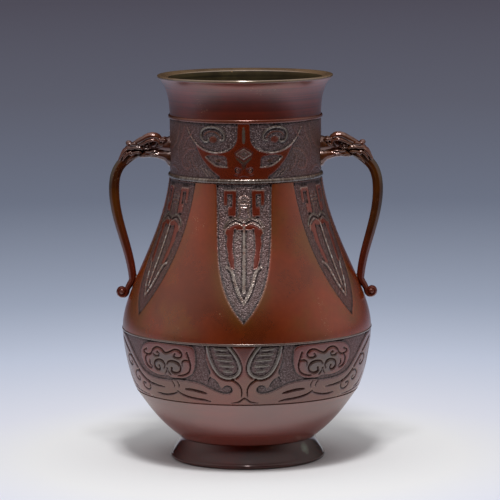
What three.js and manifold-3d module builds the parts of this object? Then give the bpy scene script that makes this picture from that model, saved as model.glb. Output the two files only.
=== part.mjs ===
// A cast bronze vase of the pear-shaped ritual kind, with a splayed foot, a frieze round its belly, six
// hanging blade panels on its shoulder, a horned face on its neck and two beast-head handles whose
// slender bows end in a small scroll.
//
// Millimetres, +Z up. The origin is on the table at the middle of the foot, the front faces -Y
// and the handles stand on the X axis.
//
// The vessel is three castings stacked on one axis: the foot ring, the body and the neck. Each
// joint is a lap that hides under a raised line. A round plate closes the core opening in the
// body's floor. Each handle is a head and a bow. The bow's peg sits in the beast's throat, and two
// rivets hold the handle from inside the vessel.
import * as THREE from "three";
import { mergeVertices } from "three/addons/utils/BufferGeometryUtils.js";
import Module from "manifold-3d";

const wasm = await Module();
wasm.setup();

// Heights of the zones, stacked from the table up
const footHeight = 17.5;
const underbellyHeight = 37.5;
const friezeHeight = 48;
const shoulderHeight = 118;
const neckBandHeight = 47;
const mouthHeight = 32;

// Outside radii where the zones meet
const footRadius = 60.5;
const footTopRadius = 53;
const friezeBottomRadius = 86.7;
const bellyRadius = 97.1;
const neckRadius = 59.4;
const mouthRadius = 68.2;

// Walls and edges
const wall = 3.4;
const footWall = 4.4;
const footEdgeHeight = 2;
const edgeRound = 0.8;
const lipHeight = 2.4;
const lipWidth = 8;
const lipDish = 1.6;

// Raised lines and the sunk grounds between them
const beadHeight = 3.2;
const beadProud = 1;
const ridgeHeight = 2.6;
const ridgeProud = 0.5;
const friezeLineHeight = 1.6;
const groundDepth = 0.7;
const waveBandHeight = 17;
const padDepth = 0.15;
const wireHalfWidth = 0.9;

// Sunk blade panels that hang from the top of the shoulder
const bladeCount = 6;
const bladeTopGap = 3;
const bladeDrop = 99;
const bladeHalfAngle = 21;

// Joints between the castings
const clearance = 0.3;
const lapDepth = 8;
const bossDepth = 8;
const ledgeHeight = 4.6;
const ledgeWidth = 2.6;
const plateRim = 2;
const plateThickness = 3;

// Handles
const armRise = 20;
const headLength = 35.5;
const headDepth = 24;
const headHalfWidth = 8.6;
const bowReach = 43.2;
const bowShoulderDrop = 31;
const bowFootRise = 38;
const bowTipThickness = 3;
const bowThickness = 8;
const bowFootThickness = 6;
const bowHalfWidth = 4.6;
const bowBedding = 0.8;
const pegRadius = 2;
const pegLength = 6;
const scrollRadius = 4.9;
const scrollDrop = 10.4;

// Rivets
const rivetRadius = 2.6;
const rivetHeadRadius = 5;
const rivetHeadHeight = 2.2;

// Fineness of the facets
const turns = 36;
const curveSteps = 4;
const friezeSteps = 3;
const shoulderSteps = 9;
const lineSteps = 3;
const insideStride = 2;
const roundSides = 12;
const lumpSides = 8;
const bowSides = 8;
const curlSteps = 7;
const headSides = 16;
const bladeSteps = 5;
const bladeColumns = 5;

// Heights and radii that follow from them
const friezeBottom = footHeight + underbellyHeight;
const waveTop = friezeBottom + waveBandHeight;
const friezeTop = friezeBottom + friezeHeight;
const seam = friezeTop + shoulderHeight;
const ridgeMiddle = seam + neckBandHeight;
const rim = ridgeMiddle + mouthHeight;
const neckInside = neckRadius - wall;
const neckGround = neckRadius - groundDepth;
const armHeight = seam + armRise;
const bowFootHeight = friezeTop + bowFootRise;
const bladeTop = seam - bladeTopGap;

// Colours and finishes
const finishes = {
  body: new THREE.MeshStandardMaterial({ color: 0x6b3220, roughness: 0.38, metalness: 0.85 }),
  foot: new THREE.MeshStandardMaterial({ color: 0x4a2a22, roughness: 0.42, metalness: 0.85 }),
  head: new THREE.MeshStandardMaterial({ color: 0x6e3a26, roughness: 0.36, metalness: 0.85 }),
  bow: new THREE.MeshStandardMaterial({ color: 0x5d3d1c, roughness: 0.34, metalness: 0.88 }),
  plate: new THREE.MeshStandardMaterial({ color: 0x46342a, roughness: 0.55, metalness: 0.8 }),
  rivet: new THREE.MeshStandardMaterial({ color: 0x57462f, roughness: 0.5, metalness: 0.85 }),
};

const { degToRad, lerp, radToDeg, smoothstep } = THREE.MathUtils;
const at = (radius, height) => new THREE.Vector2(radius, height);
const direction = (degrees) => at(Math.cos(degToRad(degrees)), Math.sin(degToRad(degrees)));

// A curve in a plane of radius and height. It leaves its start and reaches its end at the stated
// angles above the outward horizontal. Each pull says how far it holds to that angle, as a share of
// the straight distance between the ends.
function easedCurve(start, startAngle, startPull, end, endAngle, endPull, steps = curveSteps) {
  const span = start.distanceTo(end);
  return new THREE.CubicBezierCurve(
    start,
    start.clone().addScaledVector(direction(startAngle), startPull * span),
    end.clone().addScaledVector(direction(endAngle), -endPull * span),
    end,
  ).getPoints(steps);
}

// A line's direction at each of its points, from the points on both sides.
function directionsAlong(line) {
  return line.map((_, i) => {
    const before = line[Math.max(i - 1, 0)];
    const after = line[Math.min(i + 1, line.length - 1)];
    return after.clone().sub(before).normalize();
  });
}

// A climbing profile moved inwards by a distance, or outwards by a negative one.
function movedIn(profile, distance) {
  const along = directionsAlong(profile);
  return profile.map((point, i) => at(point.x - along[i].y * distance, point.y + along[i].x * distance));
}

// Half-round line standing out of a wall of the given radius.
function halfRound(radius, middle, height, proud) {
  return Array.from({ length: lineSteps + 1 }, (_, i) => {
    const turn = (i / lineSteps - 0.5) * Math.PI;
    return at(radius + proud * Math.cos(turn), middle + (height / 2) * Math.sin(turn));
  });
}

// Closed solids

function solidFrom(geometry) {
  const bare = geometry.index ? geometry.toNonIndexed() : geometry.clone();
  bare.deleteAttribute("normal");
  bare.deleteAttribute("uv");
  const merged = mergeVertices(bare, 1e-4);
  return new wasm.Manifold(
    new wasm.Mesh({
      numProp: 3,
      vertProperties: merged.attributes.position.array,
      triVerts: new Uint32Array(merged.index.array),
    }),
  );
}

function geometryFrom(solid) {
  const mesh = solid.getMesh();
  const geometry = new THREE.BufferGeometry();
  geometry.setAttribute("position", new THREE.BufferAttribute(new Float32Array(mesh.vertProperties), 3));
  geometry.setIndex(new THREE.BufferAttribute(new Uint32Array(mesh.triVerts), 1));
  geometry.computeVertexNormals();
  return geometry;
}

// A profile turned about Z. It runs anticlockwise, with the outside on its right.
function turned(profile) {
  const closed = profile[0].x === 0 ? profile : [...profile, profile[0].clone()];
  return solidFrom(new THREE.LatheGeometry(closed, turns).rotateX(Math.PI / 2));
}

// A profile of radius against distance, turned about a line that leaves a point in a direction.
function turnedAbout(start, along, profile, sides = roundSides) {
  const swing = new THREE.Quaternion().setFromUnitVectors(new THREE.Vector3(0, 1, 0), along);
  const geometry = new THREE.LatheGeometry(profile, sides).applyQuaternion(swing);
  return solidFrom(geometry.translate(start.x, start.y, start.z));
}

// Rings of equal length joined one after the other, with a fan over each end. Seen from the last
// ring towards the first, each ring runs anticlockwise.
function lofted(rings) {
  const count = rings[0].length;
  const last = (rings.length - 1) * count;
  const ends = [rings[0], rings.at(-1)].map((ring) =>
    ring.reduce((sum, p) => sum.add(p), new THREE.Vector3()).divideScalar(count),
  );
  const points = [...rings.flat(), ...ends];
  const triangles = [];
  for (let i = 0; i < count; i++) {
    const next = (i + 1) % count;
    for (let row = 0; row < last; row += count) {
      triangles.push(row + i, row + next, row + next + count, row + i, row + next + count, row + i + count);
    }
    triangles.push(next, i, points.length - 2);
    triangles.push(last + i, last + next, points.length - 1);
  }
  const geometry = new THREE.BufferGeometry().setFromPoints(points);
  geometry.setIndex(triangles);
  return solidFrom(geometry);
}

// A rounded box outline of half-sizes a and b. Squareness 2 is an ellipse.
function roundedOutline(a, b, squareness, sides) {
  return Array.from({ length: sides }, (_, i) => {
    const turn = (2 * Math.PI * i) / sides;
    const eased = (value) => Math.sign(value) * Math.abs(value) ** (2 / squareness);
    return at(a * eased(Math.cos(turn)), b * eased(Math.sin(turn)));
  });
}

// The vessel

const underbelly = easedCurve(
  at(footTopRadius, footHeight), 36, 0.4,
  at(friezeBottomRadius, friezeBottom), 55, 0.34,
);
const friezeWall = easedCurve(
  at(friezeBottomRadius, friezeBottom), 61, 0.24,
  at(bellyRadius, friezeTop), 90, 0.24,
  friezeSteps,
);
const shoulder = easedCurve(
  at(bellyRadius, friezeTop), 90, 0.24,
  at(neckRadius, seam), 96.6, 0.4,
  shoulderSteps,
);
const mouth = easedCurve(
  at(neckGround, ridgeMiddle + ridgeHeight / 2), 90, 0.47,
  at(mouthRadius - edgeRound, rim - lipHeight), 38, 0.24,
);
const neckOutside = [
  ...halfRound(neckRadius, seam + beadHeight / 2, beadHeight, beadProud),
  at(neckGround, seam + beadHeight),
  at(neckGround, ridgeMiddle - ridgeHeight / 2),
  ...halfRound(neckRadius, ridgeMiddle, ridgeHeight, ridgeProud),
  ...mouth,
];

// Radius of a climbing wall at a height, and how much radius it gains per height.
function wallAt(profile, height) {
  const above = profile.findIndex((p) => p.y >= height);
  const i = above < 0 ? profile.length - 1 : Math.max(1, above);
  const [low, high] = [profile[i - 1], profile[i]];
  const slope = (high.x - low.x) / (high.y - low.y);
  return { radius: low.x + slope * (height - low.y), slope };
}

const shoulderAt = (height) => wallAt(shoulder, height);

// The lap under the bead takes half of the wall from each of its two pieces.
const lapRadius = neckInside + (wall - clearance) / 2;
const bossRadius = footTopRadius - footWall - clearance;
const plateRadius = bossRadius - plateRim - clearance;
const ledgeRadius = plateRadius + clearance - ledgeWidth;
const bossBottom = footHeight - bossDepth;
const ledgeUnder = bossBottom + plateThickness;

function bodyProfile() {
  const ledgeTop = ledgeUnder + ledgeHeight;
  const bodyTop = seam - clearance;
  const lapBottom = seam - lapDepth - clearance;
  const outside = [...underbelly, ...friezeWall.slice(1), ...shoulder.slice(1)];
  const inside = movedIn(outside, wall).filter(
    (p, i) => i % insideStride === 0 && p.x > ledgeRadius && p.y > ledgeTop && p.y < lapBottom,
  );
  const friezeLine = halfRound(bellyRadius, friezeTop, friezeLineHeight, ridgeProud);
  const waveTopRadius = wallAt(friezeWall, waveTop).radius;
  return [
    at(plateRadius + clearance, bossBottom),
    at(bossRadius, bossBottom),
    at(bossRadius, footHeight),
    ...underbelly,
    ...friezeWall.slice(1).filter((p) => p.y < waveTop),
    at(waveTopRadius, waveTop),
    at(waveTopRadius - groundDepth, waveTop),
    ...movedIn(friezeWall, groundDepth).slice(1, -1).filter((p) => p.y > waveTop),
    at(bellyRadius - groundDepth, friezeLine[0].y),
    ...friezeLine,
    ...shoulder.slice(1, -1),
    at(neckRadius, bodyTop),
    at(lapRadius + clearance, bodyTop),
    at(lapRadius + clearance, lapBottom),
    at(neckInside, lapBottom),
    ...inside.reverse(),
    at(ledgeRadius, ledgeTop),
    at(ledgeRadius, ledgeUnder),
    at(plateRadius + clearance, ledgeUnder),
  ];
}

function neckProfile() {
  const throat = easedCurve(
    at(mouthRadius - lipWidth, rim - lipDish), 228, 0.18,
    at(neckInside, ridgeMiddle + ridgeHeight), 270, 0.43,
  );
  return [
    at(neckInside, seam - lapDepth),
    at(lapRadius, seam - lapDepth),
    at(lapRadius, seam),
    ...neckOutside,
    at(mouthRadius, rim - lipHeight + edgeRound),
    at(mouthRadius, rim - edgeRound),
    at(mouthRadius - edgeRound, rim),
    ...throat,
  ];
}

function footProfile() {
  const top = footHeight - clearance;
  const flare = easedCurve(at(footRadius, footEdgeHeight), 112, 0.24, at(footTopRadius, top), 100, 0.35);
  return [
    at(footRadius - footWall, 0),
    at(footRadius - edgeRound, 0),
    ...flare,
    at(footTopRadius - footWall, top),
  ];
}

function plateProfile() {
  const top = ledgeUnder - clearance;
  const under = top - plateThickness;
  return [at(0, under), at(plateRadius, under), at(plateRadius, top), at(0, top)];
}

function placeOnWall(radius, degrees, height) {
  const turn = degToRad(degrees);
  return new THREE.Vector3(radius * Math.sin(turn), -radius * Math.cos(turn), height);
}

function repeatedRound(solid, count) {
  const copies = Array.from({ length: count }, (_, i) => solid.rotate([0, 0, (360 * i) / count]));
  return copies.reduce((sum, copy) => sum.add(copy));
}

// One blade panel as a cutter that follows the shoulder's double curve at the ground's depth. Its
// outline, in half-angle against height, stays broad and then closes to a point.
function bladeCutter() {
  const flank = 0.82 * bladeHalfAngle;
  const outline = new THREE.CubicBezierCurve(
    at(bladeHalfAngle, bladeTop),
    at(flank, bladeTop - 0.3 * bladeDrop),
    at(flank, bladeTop - 0.7 * bladeDrop),
    at(0.02 * bladeHalfAngle, bladeTop - bladeDrop),
  );
  const rings = outline.getPoints(bladeSteps).map(({ x: halfAngle, y: height }) => {
    const bottom = shoulderAt(height).radius - groundDepth;
    const arc = (radius, side) =>
      Array.from({ length: bladeColumns + 1 }, (_, i) => {
        return placeOnWall(radius, side * halfAngle * (1 - (2 * i) / bladeColumns), height);
      });
    return [...arc(bottom, -1), ...arc(bottom + 3 * groundDepth, 1)];
  });
  return lofted(rings);
}

// The cast relief stands in the sunk grounds and rises about to the face of the wall round them. It is
// drawn in degrees to the right of a middle line, and heights.

const mirrored = (places) => places.map(([degrees, ...heights]) => [-degrees, ...heights]).reverse();

// A flat pad. Each column gives its degrees, then the heights of its lower and upper edge. The face
// follows the wall in equal steps between them.
function pad(wallProfile, columns, steps) {
  const rings = columns.map(([degrees, low, high]) => {
    const spot = (share, depth) => {
      const height = lerp(low, high, share);
      return placeOnWall(wallAt(wallProfile, height).radius - depth, degrees, height);
    };
    const face = Array.from({ length: steps + 1 }, (_, i) => spot(1 - i / steps, padDepth));
    return [spot(1, 2 * groundDepth), ...face, spot(0, 2 * groundDepth)];
  });
  return lofted(rings);
}

// A three-sided wire along a line of degrees and heights.
function wire(wallProfile, line) {
  const rings = line.map(([degrees, height], i) => {
    const before = line[Math.max(i - 1, 0)];
    const after = line[Math.min(i + 1, line.length - 1)];
    const { radius } = wallAt(wallProfile, height);
    const along = at(degToRad(after[0] - before[0]) * radius, after[1] - before[1]).normalize();
    const aside = at(along.y, -along.x).multiplyScalar(wireHalfWidth);
    const foot = (side) => {
      const turn = degrees + radToDeg((side * aside.x) / radius);
      return placeOnWall(radius - 2 * groundDepth, turn, height + side * aside.y);
    };
    return [foot(-1), placeOnWall(radius, degrees, height), foot(1)];
  });
  return lofted(rings);
}

// In each blade, a midrib over a V, and a moustache over both. Places are in shares of the blade's
// half-angle and drop.
function bladeRelief() {
  const drawn = (line) => line.map(([angle, drop]) => [angle * bladeHalfAngle, bladeTop - drop * bladeDrop]);
  const midrib = drawn([[0, 0.78], [0, 0.53], [0, 0.29]]);
  const arm = drawn([[-0.05, 0.89], [0.22, 0.7], [0.45, 0.59]]);
  const moustache = drawn([[0.62, 0.31], [0.4, 0.23], [-0.07, 0.28]]);
  const lines = [arm, mirrored(arm), moustache, mirrored(moustache)];
  const panel = lines.reduce((sum, line) => sum.add(wire(shoulder, line)), wire(shoulder, midrib));
  return repeatedRound(panel, bladeCount);
}

// Places given in degrees and in shares of a zone's height, as degrees and heights.
function inZone(bottom, zoneHeight, places) {
  return places.map(([degrees, ...shares]) => [
    degrees,
    ...shares.map((share) => bottom + share * zoneHeight),
  ]);
}

// On the frieze, over its band of waves: a pair of shields in the middle, a cloud head beyond each of
// them, and behind each handle the wave that climbs there.
function friezeRelief() {
  const drawn = (columns) => inZone(friezeBottom, friezeHeight, columns);
  const onBothFlanks = (columns) => pad(friezeWall, columns, 2).add(pad(friezeWall, mirrored(columns), 2));
  const shield = drawn([[2.2, 0.6, 0.8], [7.4, 0.46, 0.95], [12.4, 0.56, 0.95], [16, 0.84, 0.95]]);
  const cloud = drawn([
    [23, 0.62, 0.88], [29, 0.43, 0.96], [38, 0.41, 0.96], [47, 0.43, 0.95], [56.5, 0.62, 0.86],
  ]);
  const wave = drawn([[4, 0.38, 0.96], [12, 0.38, 0.96], [20.6, 0.38, 0.84], [28, 0.38, 0.5]]);
  const waves = pad(friezeWall, [...mirrored(wave), ...wave], 2).rotate([0, 0, 90]);
  return repeatedRound(onBothFlanks(shield).add(onBothFlanks(cloud)).add(waves), 2);
}

// On the neck, a horned face plate under two ring eyes.
function faceRelief() {
  const band = [at(neckRadius, seam), at(neckRadius, ridgeMiddle)];
  const plate = inZone(seam, neckBandHeight, [
    [4.3, 0.05, 0.98], [6.6, 0.05, 0.63], [13, 0.05, 0.52], [22, 0.15, 0.48], [31, 0.36, 0.53],
    [38.6, 0.6, 0.64],
  ]);
  const eye = inZone(seam, neckBandHeight, [
    [17, 0.68], [14.6, 0.77], [19, 0.89], [29, 0.89], [33.6, 0.76], [29, 0.67],
  ]);
  const eyes = wire(band, eye).add(wire(band, mirrored(eye)));
  return repeatedRound(pad(band, [...mirrored(plate), ...plate], 1).add(eyes), 2);
}

function bodySolid() {
  return turned(bodyProfile())
    .subtract(repeatedRound(bladeCutter(), bladeCount))
    .add(bladeRelief())
    .add(friezeRelief())
    .subtract(repeatedRound(rivetHole(shoulderRivet), 2));
}

function neckSolid() {
  return turned(neckProfile()).add(faceRelief()).subtract(repeatedRound(rivetHole(neckRivet), 2));
}

// The vessel's outside grown by the clearance, which trims the handles to sit against it.
function vesselPlug() {
  const grown = movedIn([...shoulder.slice(0, -1), ...neckOutside], -clearance);
  return turned([at(0, grown[0].y), ...grown, at(0, grown.at(-1).y)]);
}

// A handle, made on the right side. The left one is the same handle turned half round.

const outwards = new THREE.Vector3(1, 0, 0);
const scrollHeight = bowFootHeight - scrollDrop;
const scrollCentre = at(
  shoulderAt(scrollHeight).radius + scrollRadius + 0.3 * bowFootThickness,
  scrollHeight,
);
const bowTip = at(neckRadius + 0.56 * headLength, armHeight - 0.07 * headDepth);
const bowFoot = at(
  shoulderAt(bowFootHeight).radius + clearance + bowFootThickness / 2 - bowBedding,
  bowFootHeight,
);

// The bow's middle line, with its thickness at each point: a leaf-shaped tip in the beast's mouth,
// a bend, a long sweep down to the wall, a stretch bedded on it, and a curl that winds up outwards.
function bowLine() {
  const bowShoulder = at(neckRadius + bowReach, armHeight - bowShoulderDrop);
  const curlThickness = 0.66 * bowFootThickness;
  const curlStart = at(scrollCentre.x - 0.8 * scrollRadius, scrollCentre.y);
  const curlTurns = 0.7;
  const curl = Array.from({ length: curlSteps + 1 }, (_, i) => {
    const share = i / curlSteps;
    const turn = Math.PI * (1 + 2 * curlTurns * share);
    const radius = scrollRadius * lerp(0.8, 0.64, share);
    return at(scrollCentre.x + radius * Math.cos(turn), scrollCentre.y + radius * Math.sin(turn));
  });
  const stretches = [
    [easedCurve(bowTip, -12, 0.51, bowShoulder, -90, 0.41, 8), bowTipThickness, bowThickness],
    [easedCurve(bowShoulder, -90, 0.34, bowFoot, -94, 0.34, 8), bowThickness, bowFootThickness],
    [easedCurve(bowFoot, -94, 0.27, curlStart, -90, 0.36, 3), bowFootThickness, curlThickness],
    [curl, curlThickness, 0.3 * bowFootThickness],
  ];
  return stretches.flatMap(([points, from, to], stretch) =>
    points.slice(stretch === 0 ? 0 : 1).map((point, i) => {
      const share = (i + (stretch === 0 ? 0 : 1)) / (points.length - 1);
      return { point, thickness: lerp(from, to, stretch === 0 ? smoothstep(share, -0.12, 0.36) : share) };
    }),
  );
}

// The bow's section carried along its line. Grown by a gap and made wide, it cuts the beast's mouth.
function bowSweep(gap = 0, halfWidth = bowHalfWidth) {
  const line = bowLine();
  const along = directionsAlong(line.map(({ point }) => point));
  const rings = line.map(({ point, thickness }, i) =>
    roundedOutline(thickness / 2 + gap, halfWidth, 2.6, bowSides).map((p) => {
      const middle = i === 0 ? point.clone().addScaledVector(along[i], -gap) : point;
      return new THREE.Vector3(middle.x + along[i].y * p.x, p.y, middle.y - along[i].x * p.x);
    }),
  );
  return lofted(rings);
}

// The peg at the bow's tip, or with a gap the hole for it.
function bowPeg(gap = 0) {
  const root = new THREE.Vector3(bowTip.x + pegRadius, 0, bowTip.y);
  const reach = pegRadius + pegLength + gap;
  const radius = pegRadius + gap;
  const profile = [at(0, 0), at(radius, 0), at(radius, reach), at(0, reach)];
  return turnedAbout(root, outwards.clone().negate(), profile);
}

// A rivet starts under its head, inside the vessel, and its shank points out into the handle.
function rivetAt(wallPoint, along, bite) {
  const start = wallPoint.clone().addScaledVector(along, -wall - clearance);
  return { start, along, length: wall + clearance + bite };
}

const shoulderNormal = new THREE.Vector3(1, 0, -shoulderAt(bowFootHeight).slope).normalize();
const shoulderPoint = new THREE.Vector3(shoulderAt(bowFootHeight).radius, 0, bowFootHeight);
const neckRivet = rivetAt(new THREE.Vector3(neckRadius, 0, armHeight), outwards, 0.24 * headLength);
const shoulderRivet = rivetAt(shoulderPoint, shoulderNormal, 0.55 * bowFootThickness);

function rivetSolid({ start, along, length }) {
  const profile = [
    at(0, -rivetHeadHeight),
    at(rivetHeadRadius * 0.6, -rivetHeadHeight * 0.8),
    at(rivetHeadRadius, -rivetHeadHeight * 0.2),
    at(rivetHeadRadius, 0),
    at(rivetRadius, 0),
    at(rivetRadius, length),
    at(0, length),
  ];
  return turnedAbout(start, along, profile);
}

// The hole for a rivet, with the flat seat that is faced on the inside of the wall for its head.
function rivetHole({ start, along, length }) {
  const radius = rivetRadius + clearance;
  const seatRadius = rivetHeadRadius + clearance;
  const seatStart = -2 * rivetHeadHeight;
  const reach = length + clearance;
  const profile = [
    at(0, seatStart),
    at(seatRadius, seatStart),
    at(seatRadius, clearance),
    at(radius, clearance),
    at(radius, reach),
    at(0, reach),
  ];
  return turnedAbout(start, along, profile);
}

// An egg-shaped lump on the head. Its place is in shares of the head's length, half-width and
// depth, and its half-sizes are in shares of the depth.
function lump([out, aside, up], [long, wide, tall], tilt = 0) {
  const geometry = new THREE.SphereGeometry(headDepth, lumpSides, lumpSides / 2 + 1);
  geometry.scale(long, wide, tall).rotateY(degToRad(tilt));
  geometry.translate(neckRadius + out * headLength, aside * headHalfWidth, armHeight + up * headDepth);
  return solidFrom(geometry);
}

// The beast's head: a flared root, a skull with a high crest, and a snout that closes down on the
// bow. Each station gives its place in shares of the length, then top, underside and half-width.
function headSolid(plug) {
  const stations = [
    [-0.17, 0.48, -0.53, 1.12],
    [0.02, 0.48, -0.51, 1.1],
    [0.1, 0.48, -0.36, 0.96],
    [0.21, 0.53, -0.28, 0.9],
    [0.35, 0.61, -0.22, 0.92],
    [0.47, 0.59, -0.22, 0.96],
    [0.57, 0.49, -0.22, 0.9],
    [0.69, 0.37, -0.08, 0.78],
    [0.83, 0.24, -0.16, 0.68],
    [0.94, 0.17, -0.27, 0.6],
    [1, 0.06, -0.25, 0.42],
  ];
  const rings = stations.map(([out, top, under, breadth]) => {
    const middle = armHeight + ((top + under) / 2) * headDepth;
    return roundedOutline(((top - under) / 2) * headDepth, breadth * headHalfWidth, 2.3, headSides).map(
      (p) => new THREE.Vector3(neckRadius + out * headLength, -p.y, middle + p.x),
    );
  });
  let solid = lofted(rings);
  for (const side of [-1, 1]) {
    const brow = lump([0.46, 0.7 * side, 0.44], [0.31, 0.1, 0.08], 20);
    const socket = lump([0.47, 1.05 * side, 0.16], [0.16, 0.11, 0.14]);
    const eye = lump([0.47, 0.82 * side, 0.16], [0.1, 0.07, 0.1]);
    const ear = lump([0.14, 0.84 * side, 0.36], [0.14, 0.09, 0.12], -24);
    const lip = lump([0.8, 0.5 * side, 0.11], [0.17, 0.08, 0.06], 12);
    solid = solid.subtract(socket).add(brow).add(eye).add(ear).add(lip);
  }
  const nose = lump([0.89, 0, 0.23], [0.1, 0.15, 0.1]);
  return solid
    .add(nose)
    .subtract(plug)
    .subtract(rivetHole(neckRivet))
    .subtract(bowPeg(clearance))
    .subtract(bowSweep(clearance, 3 * headHalfWidth));
}

// The bow, with its peg at one end and at the other a boss that fills the curl.
function bowSolid(plug) {
  const halfWidth = bowHalfWidth + 0.4;
  const boss = turnedAbout(
    new THREE.Vector3(scrollCentre.x, 0, scrollCentre.y),
    new THREE.Vector3(0, 1, 0),
    [
      at(0, -halfWidth),
      at(0.42 * scrollRadius, -halfWidth),
      at(0.66 * scrollRadius, 0.4 - bowHalfWidth),
      at(0.66 * scrollRadius, bowHalfWidth - 0.4),
      at(0.42 * scrollRadius, halfWidth),
      at(0, halfWidth),
    ],
  );
  return bowSweep().add(boss).add(bowPeg()).subtract(plug).subtract(rivetHole(shoulderRivet));
}

const plug = vesselPlug();
const vesselPieces = {
  foot_ring: [turned(footProfile()), finishes.foot],
  base_plate: [turned(plateProfile()), finishes.plate],
  body_section: [bodySolid(), finishes.body],
  neck_section: [neckSolid(), finishes.body],
};
const handlePieces = {
  handle_head: [headSolid(plug), finishes.head],
  handle_bow: [bowSolid(plug), finishes.bow],
  neck_rivet: [rivetSolid(neckRivet), finishes.rivet],
  shoulder_rivet: [rivetSolid(shoulderRivet), finishes.rivet],
};

function meshOf(name, [solid, material]) {
  const mesh = new THREE.Mesh(geometryFrom(solid), material);
  mesh.name = name;
  return mesh;
}

const vase = new THREE.Group();
for (const [name, piece] of Object.entries(vesselPieces)) vase.add(meshOf(name, piece));
for (const [side, turn] of [["right", 0], ["left", Math.PI]]) {
  const handle = new THREE.Group();
  handle.rotation.z = turn;
  for (const [name, piece] of Object.entries(handlePieces)) handle.add(meshOf(`${side}_${name}`, piece));
  vase.add(handle);
}

export default vase;
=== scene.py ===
# %% [markdown]
# # A cast bronze vase, dressed for its picture
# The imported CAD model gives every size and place. This lesson lays the cast ornament, the beast-head
# handles and the aged finish over it. Each cell makes one thing and says what it is on the real vase.

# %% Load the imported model
import math

import bpy
import bmesh
import numpy as np
from mathutils import Matrix


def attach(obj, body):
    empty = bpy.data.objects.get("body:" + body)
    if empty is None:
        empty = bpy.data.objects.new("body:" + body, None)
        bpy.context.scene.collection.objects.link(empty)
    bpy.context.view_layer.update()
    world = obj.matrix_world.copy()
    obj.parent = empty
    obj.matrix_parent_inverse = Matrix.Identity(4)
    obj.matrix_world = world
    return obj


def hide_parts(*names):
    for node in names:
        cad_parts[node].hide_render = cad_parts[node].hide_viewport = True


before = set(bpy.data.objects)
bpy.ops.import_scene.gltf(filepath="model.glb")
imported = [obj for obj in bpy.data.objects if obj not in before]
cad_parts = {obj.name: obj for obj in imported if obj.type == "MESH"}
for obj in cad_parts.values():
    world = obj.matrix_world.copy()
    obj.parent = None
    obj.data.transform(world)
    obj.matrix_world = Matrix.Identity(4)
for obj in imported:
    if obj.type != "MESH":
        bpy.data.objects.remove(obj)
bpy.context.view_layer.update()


# %% [markdown]
# ## The camera
# A product picture is taken from far off with a long lens, so the vase hardly narrows towards its
# foot. The camera stands a little above the rim, looks slightly down and is turned a trace clockwise.

# %% Camera
picture_width = 500
focal_pixels = 3086.3
camera_distance = 2.38683
camera_height = 0.47815
camera_azimuth = 1.4
camera_pitch = 7.5326
camera_roll = -0.42
axis_offset_pixels = 3.69

camera_data = bpy.data.cameras.new("camera")
camera_data.sensor_width = 36
camera_data.lens = 36 * focal_pixels / picture_width
camera_data.clip_start = 0.05
camera_data.clip_end = 100
camera = bpy.data.objects.new("camera", camera_data)
bpy.context.scene.collection.objects.link(camera)
around = math.radians(camera_azimuth)
aim = around - math.atan(axis_offset_pixels / focal_pixels)
camera.matrix_world = (
    Matrix.Translation(
        (camera_distance * math.sin(around), -camera_distance * math.cos(around), camera_height)
    )
    @ Matrix.Rotation(aim, 4, "Z")
    @ Matrix.Rotation(math.radians(90 - camera_pitch), 4, "X")
    @ Matrix.Rotation(math.radians(camera_roll), 4, "Z")
)
bpy.context.scene.camera = camera
bpy.context.scene.view_settings.view_transform = "Standard"
print("lens in mm:", round(camera_data.lens, 1))

# %% [markdown]
# ## Node helpers
# Materials are node graphs. Small helpers keep the graphs short to write: they add a node and set its
# sockets, make a colour ramp, do arithmetic, mix two colours and make noise.

# %% Node helpers


def node(tree, kind, inputs=None, **settings):
    """Adds a node, sets its own properties, then sets or links its input sockets by name or number."""
    made = tree.nodes.new(kind)
    for key, value in settings.items():
        setattr(made, key, value)
    for key, value in (inputs or {}).items():
        socket = made.inputs[key]
        if isinstance(value, bpy.types.NodeSocket):
            tree.links.new(value, socket)
        else:
            socket.default_value = value
    return made


def ramp(tree, value, stops, interpolation="EASE"):
    """A colour ramp over a value. Each stop is a place from 0 to 1 and a grey or a colour."""
    made = node(tree, "ShaderNodeValToRGB", {"Fac": value})
    made.color_ramp.interpolation = interpolation
    elements = made.color_ramp.elements
    while len(elements) < len(stops):
        elements.new(0.5)
    for element, (place, shade) in zip(elements, stops):
        element.position = place
        element.color = (*shade, 1) if hasattr(shade, "__len__") else (shade, shade, shade, 1)
    return made.outputs["Color"]


def maths(tree, operation, a, b=0.0, clamp=False):
    """One step of arithmetic on two values."""
    made = node(tree, "ShaderNodeMath", {0: a, 1: b}, operation=operation, use_clamp=clamp)
    return made.outputs[0]


def times(tree, a, b):
    """Two values multiplied."""
    return maths(tree, "MULTIPLY", a, b)


def plus(tree, a, b):
    """Two values added."""
    return maths(tree, "ADD", a, b)


def noise(tree, place, scale, detail, roughness=0.5):
    """Soft noise from 0 to 1. Detail is how many finer layers lie in it, roughness how strong they are."""
    inputs = {"Vector": place, "Scale": scale, "Detail": detail, "Roughness": roughness}
    return node(tree, "ShaderNodeTexNoise", inputs).outputs["Fac"]


def mixed(tree, share, a, b, blend="MIX"):
    """Two colours mixed by a share from 0 to 1."""
    made = node(tree, "ShaderNodeMix", data_type="RGBA", blend_type=blend)
    for socket, value in zip((made.inputs[0], made.inputs[6], made.inputs[7]), (share, a, b)):
        if isinstance(value, bpy.types.NodeSocket):
            tree.links.new(value, socket)
        else:
            socket.default_value = (*value, 1) if hasattr(value, "__len__") else value
    return made.outputs[2]


def tone(red, green, blue):
    """A colour as a paint chart gives it, 0 to 255, turned into the linear light that shaders use."""
    parts = np.array([red, green, blue]) / 255
    linear = np.where(parts <= 0.04045, parts / 12.92, ((parts + 0.055) / 1.055) ** 2.4)
    return tuple(float(part) for part in linear)


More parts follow.
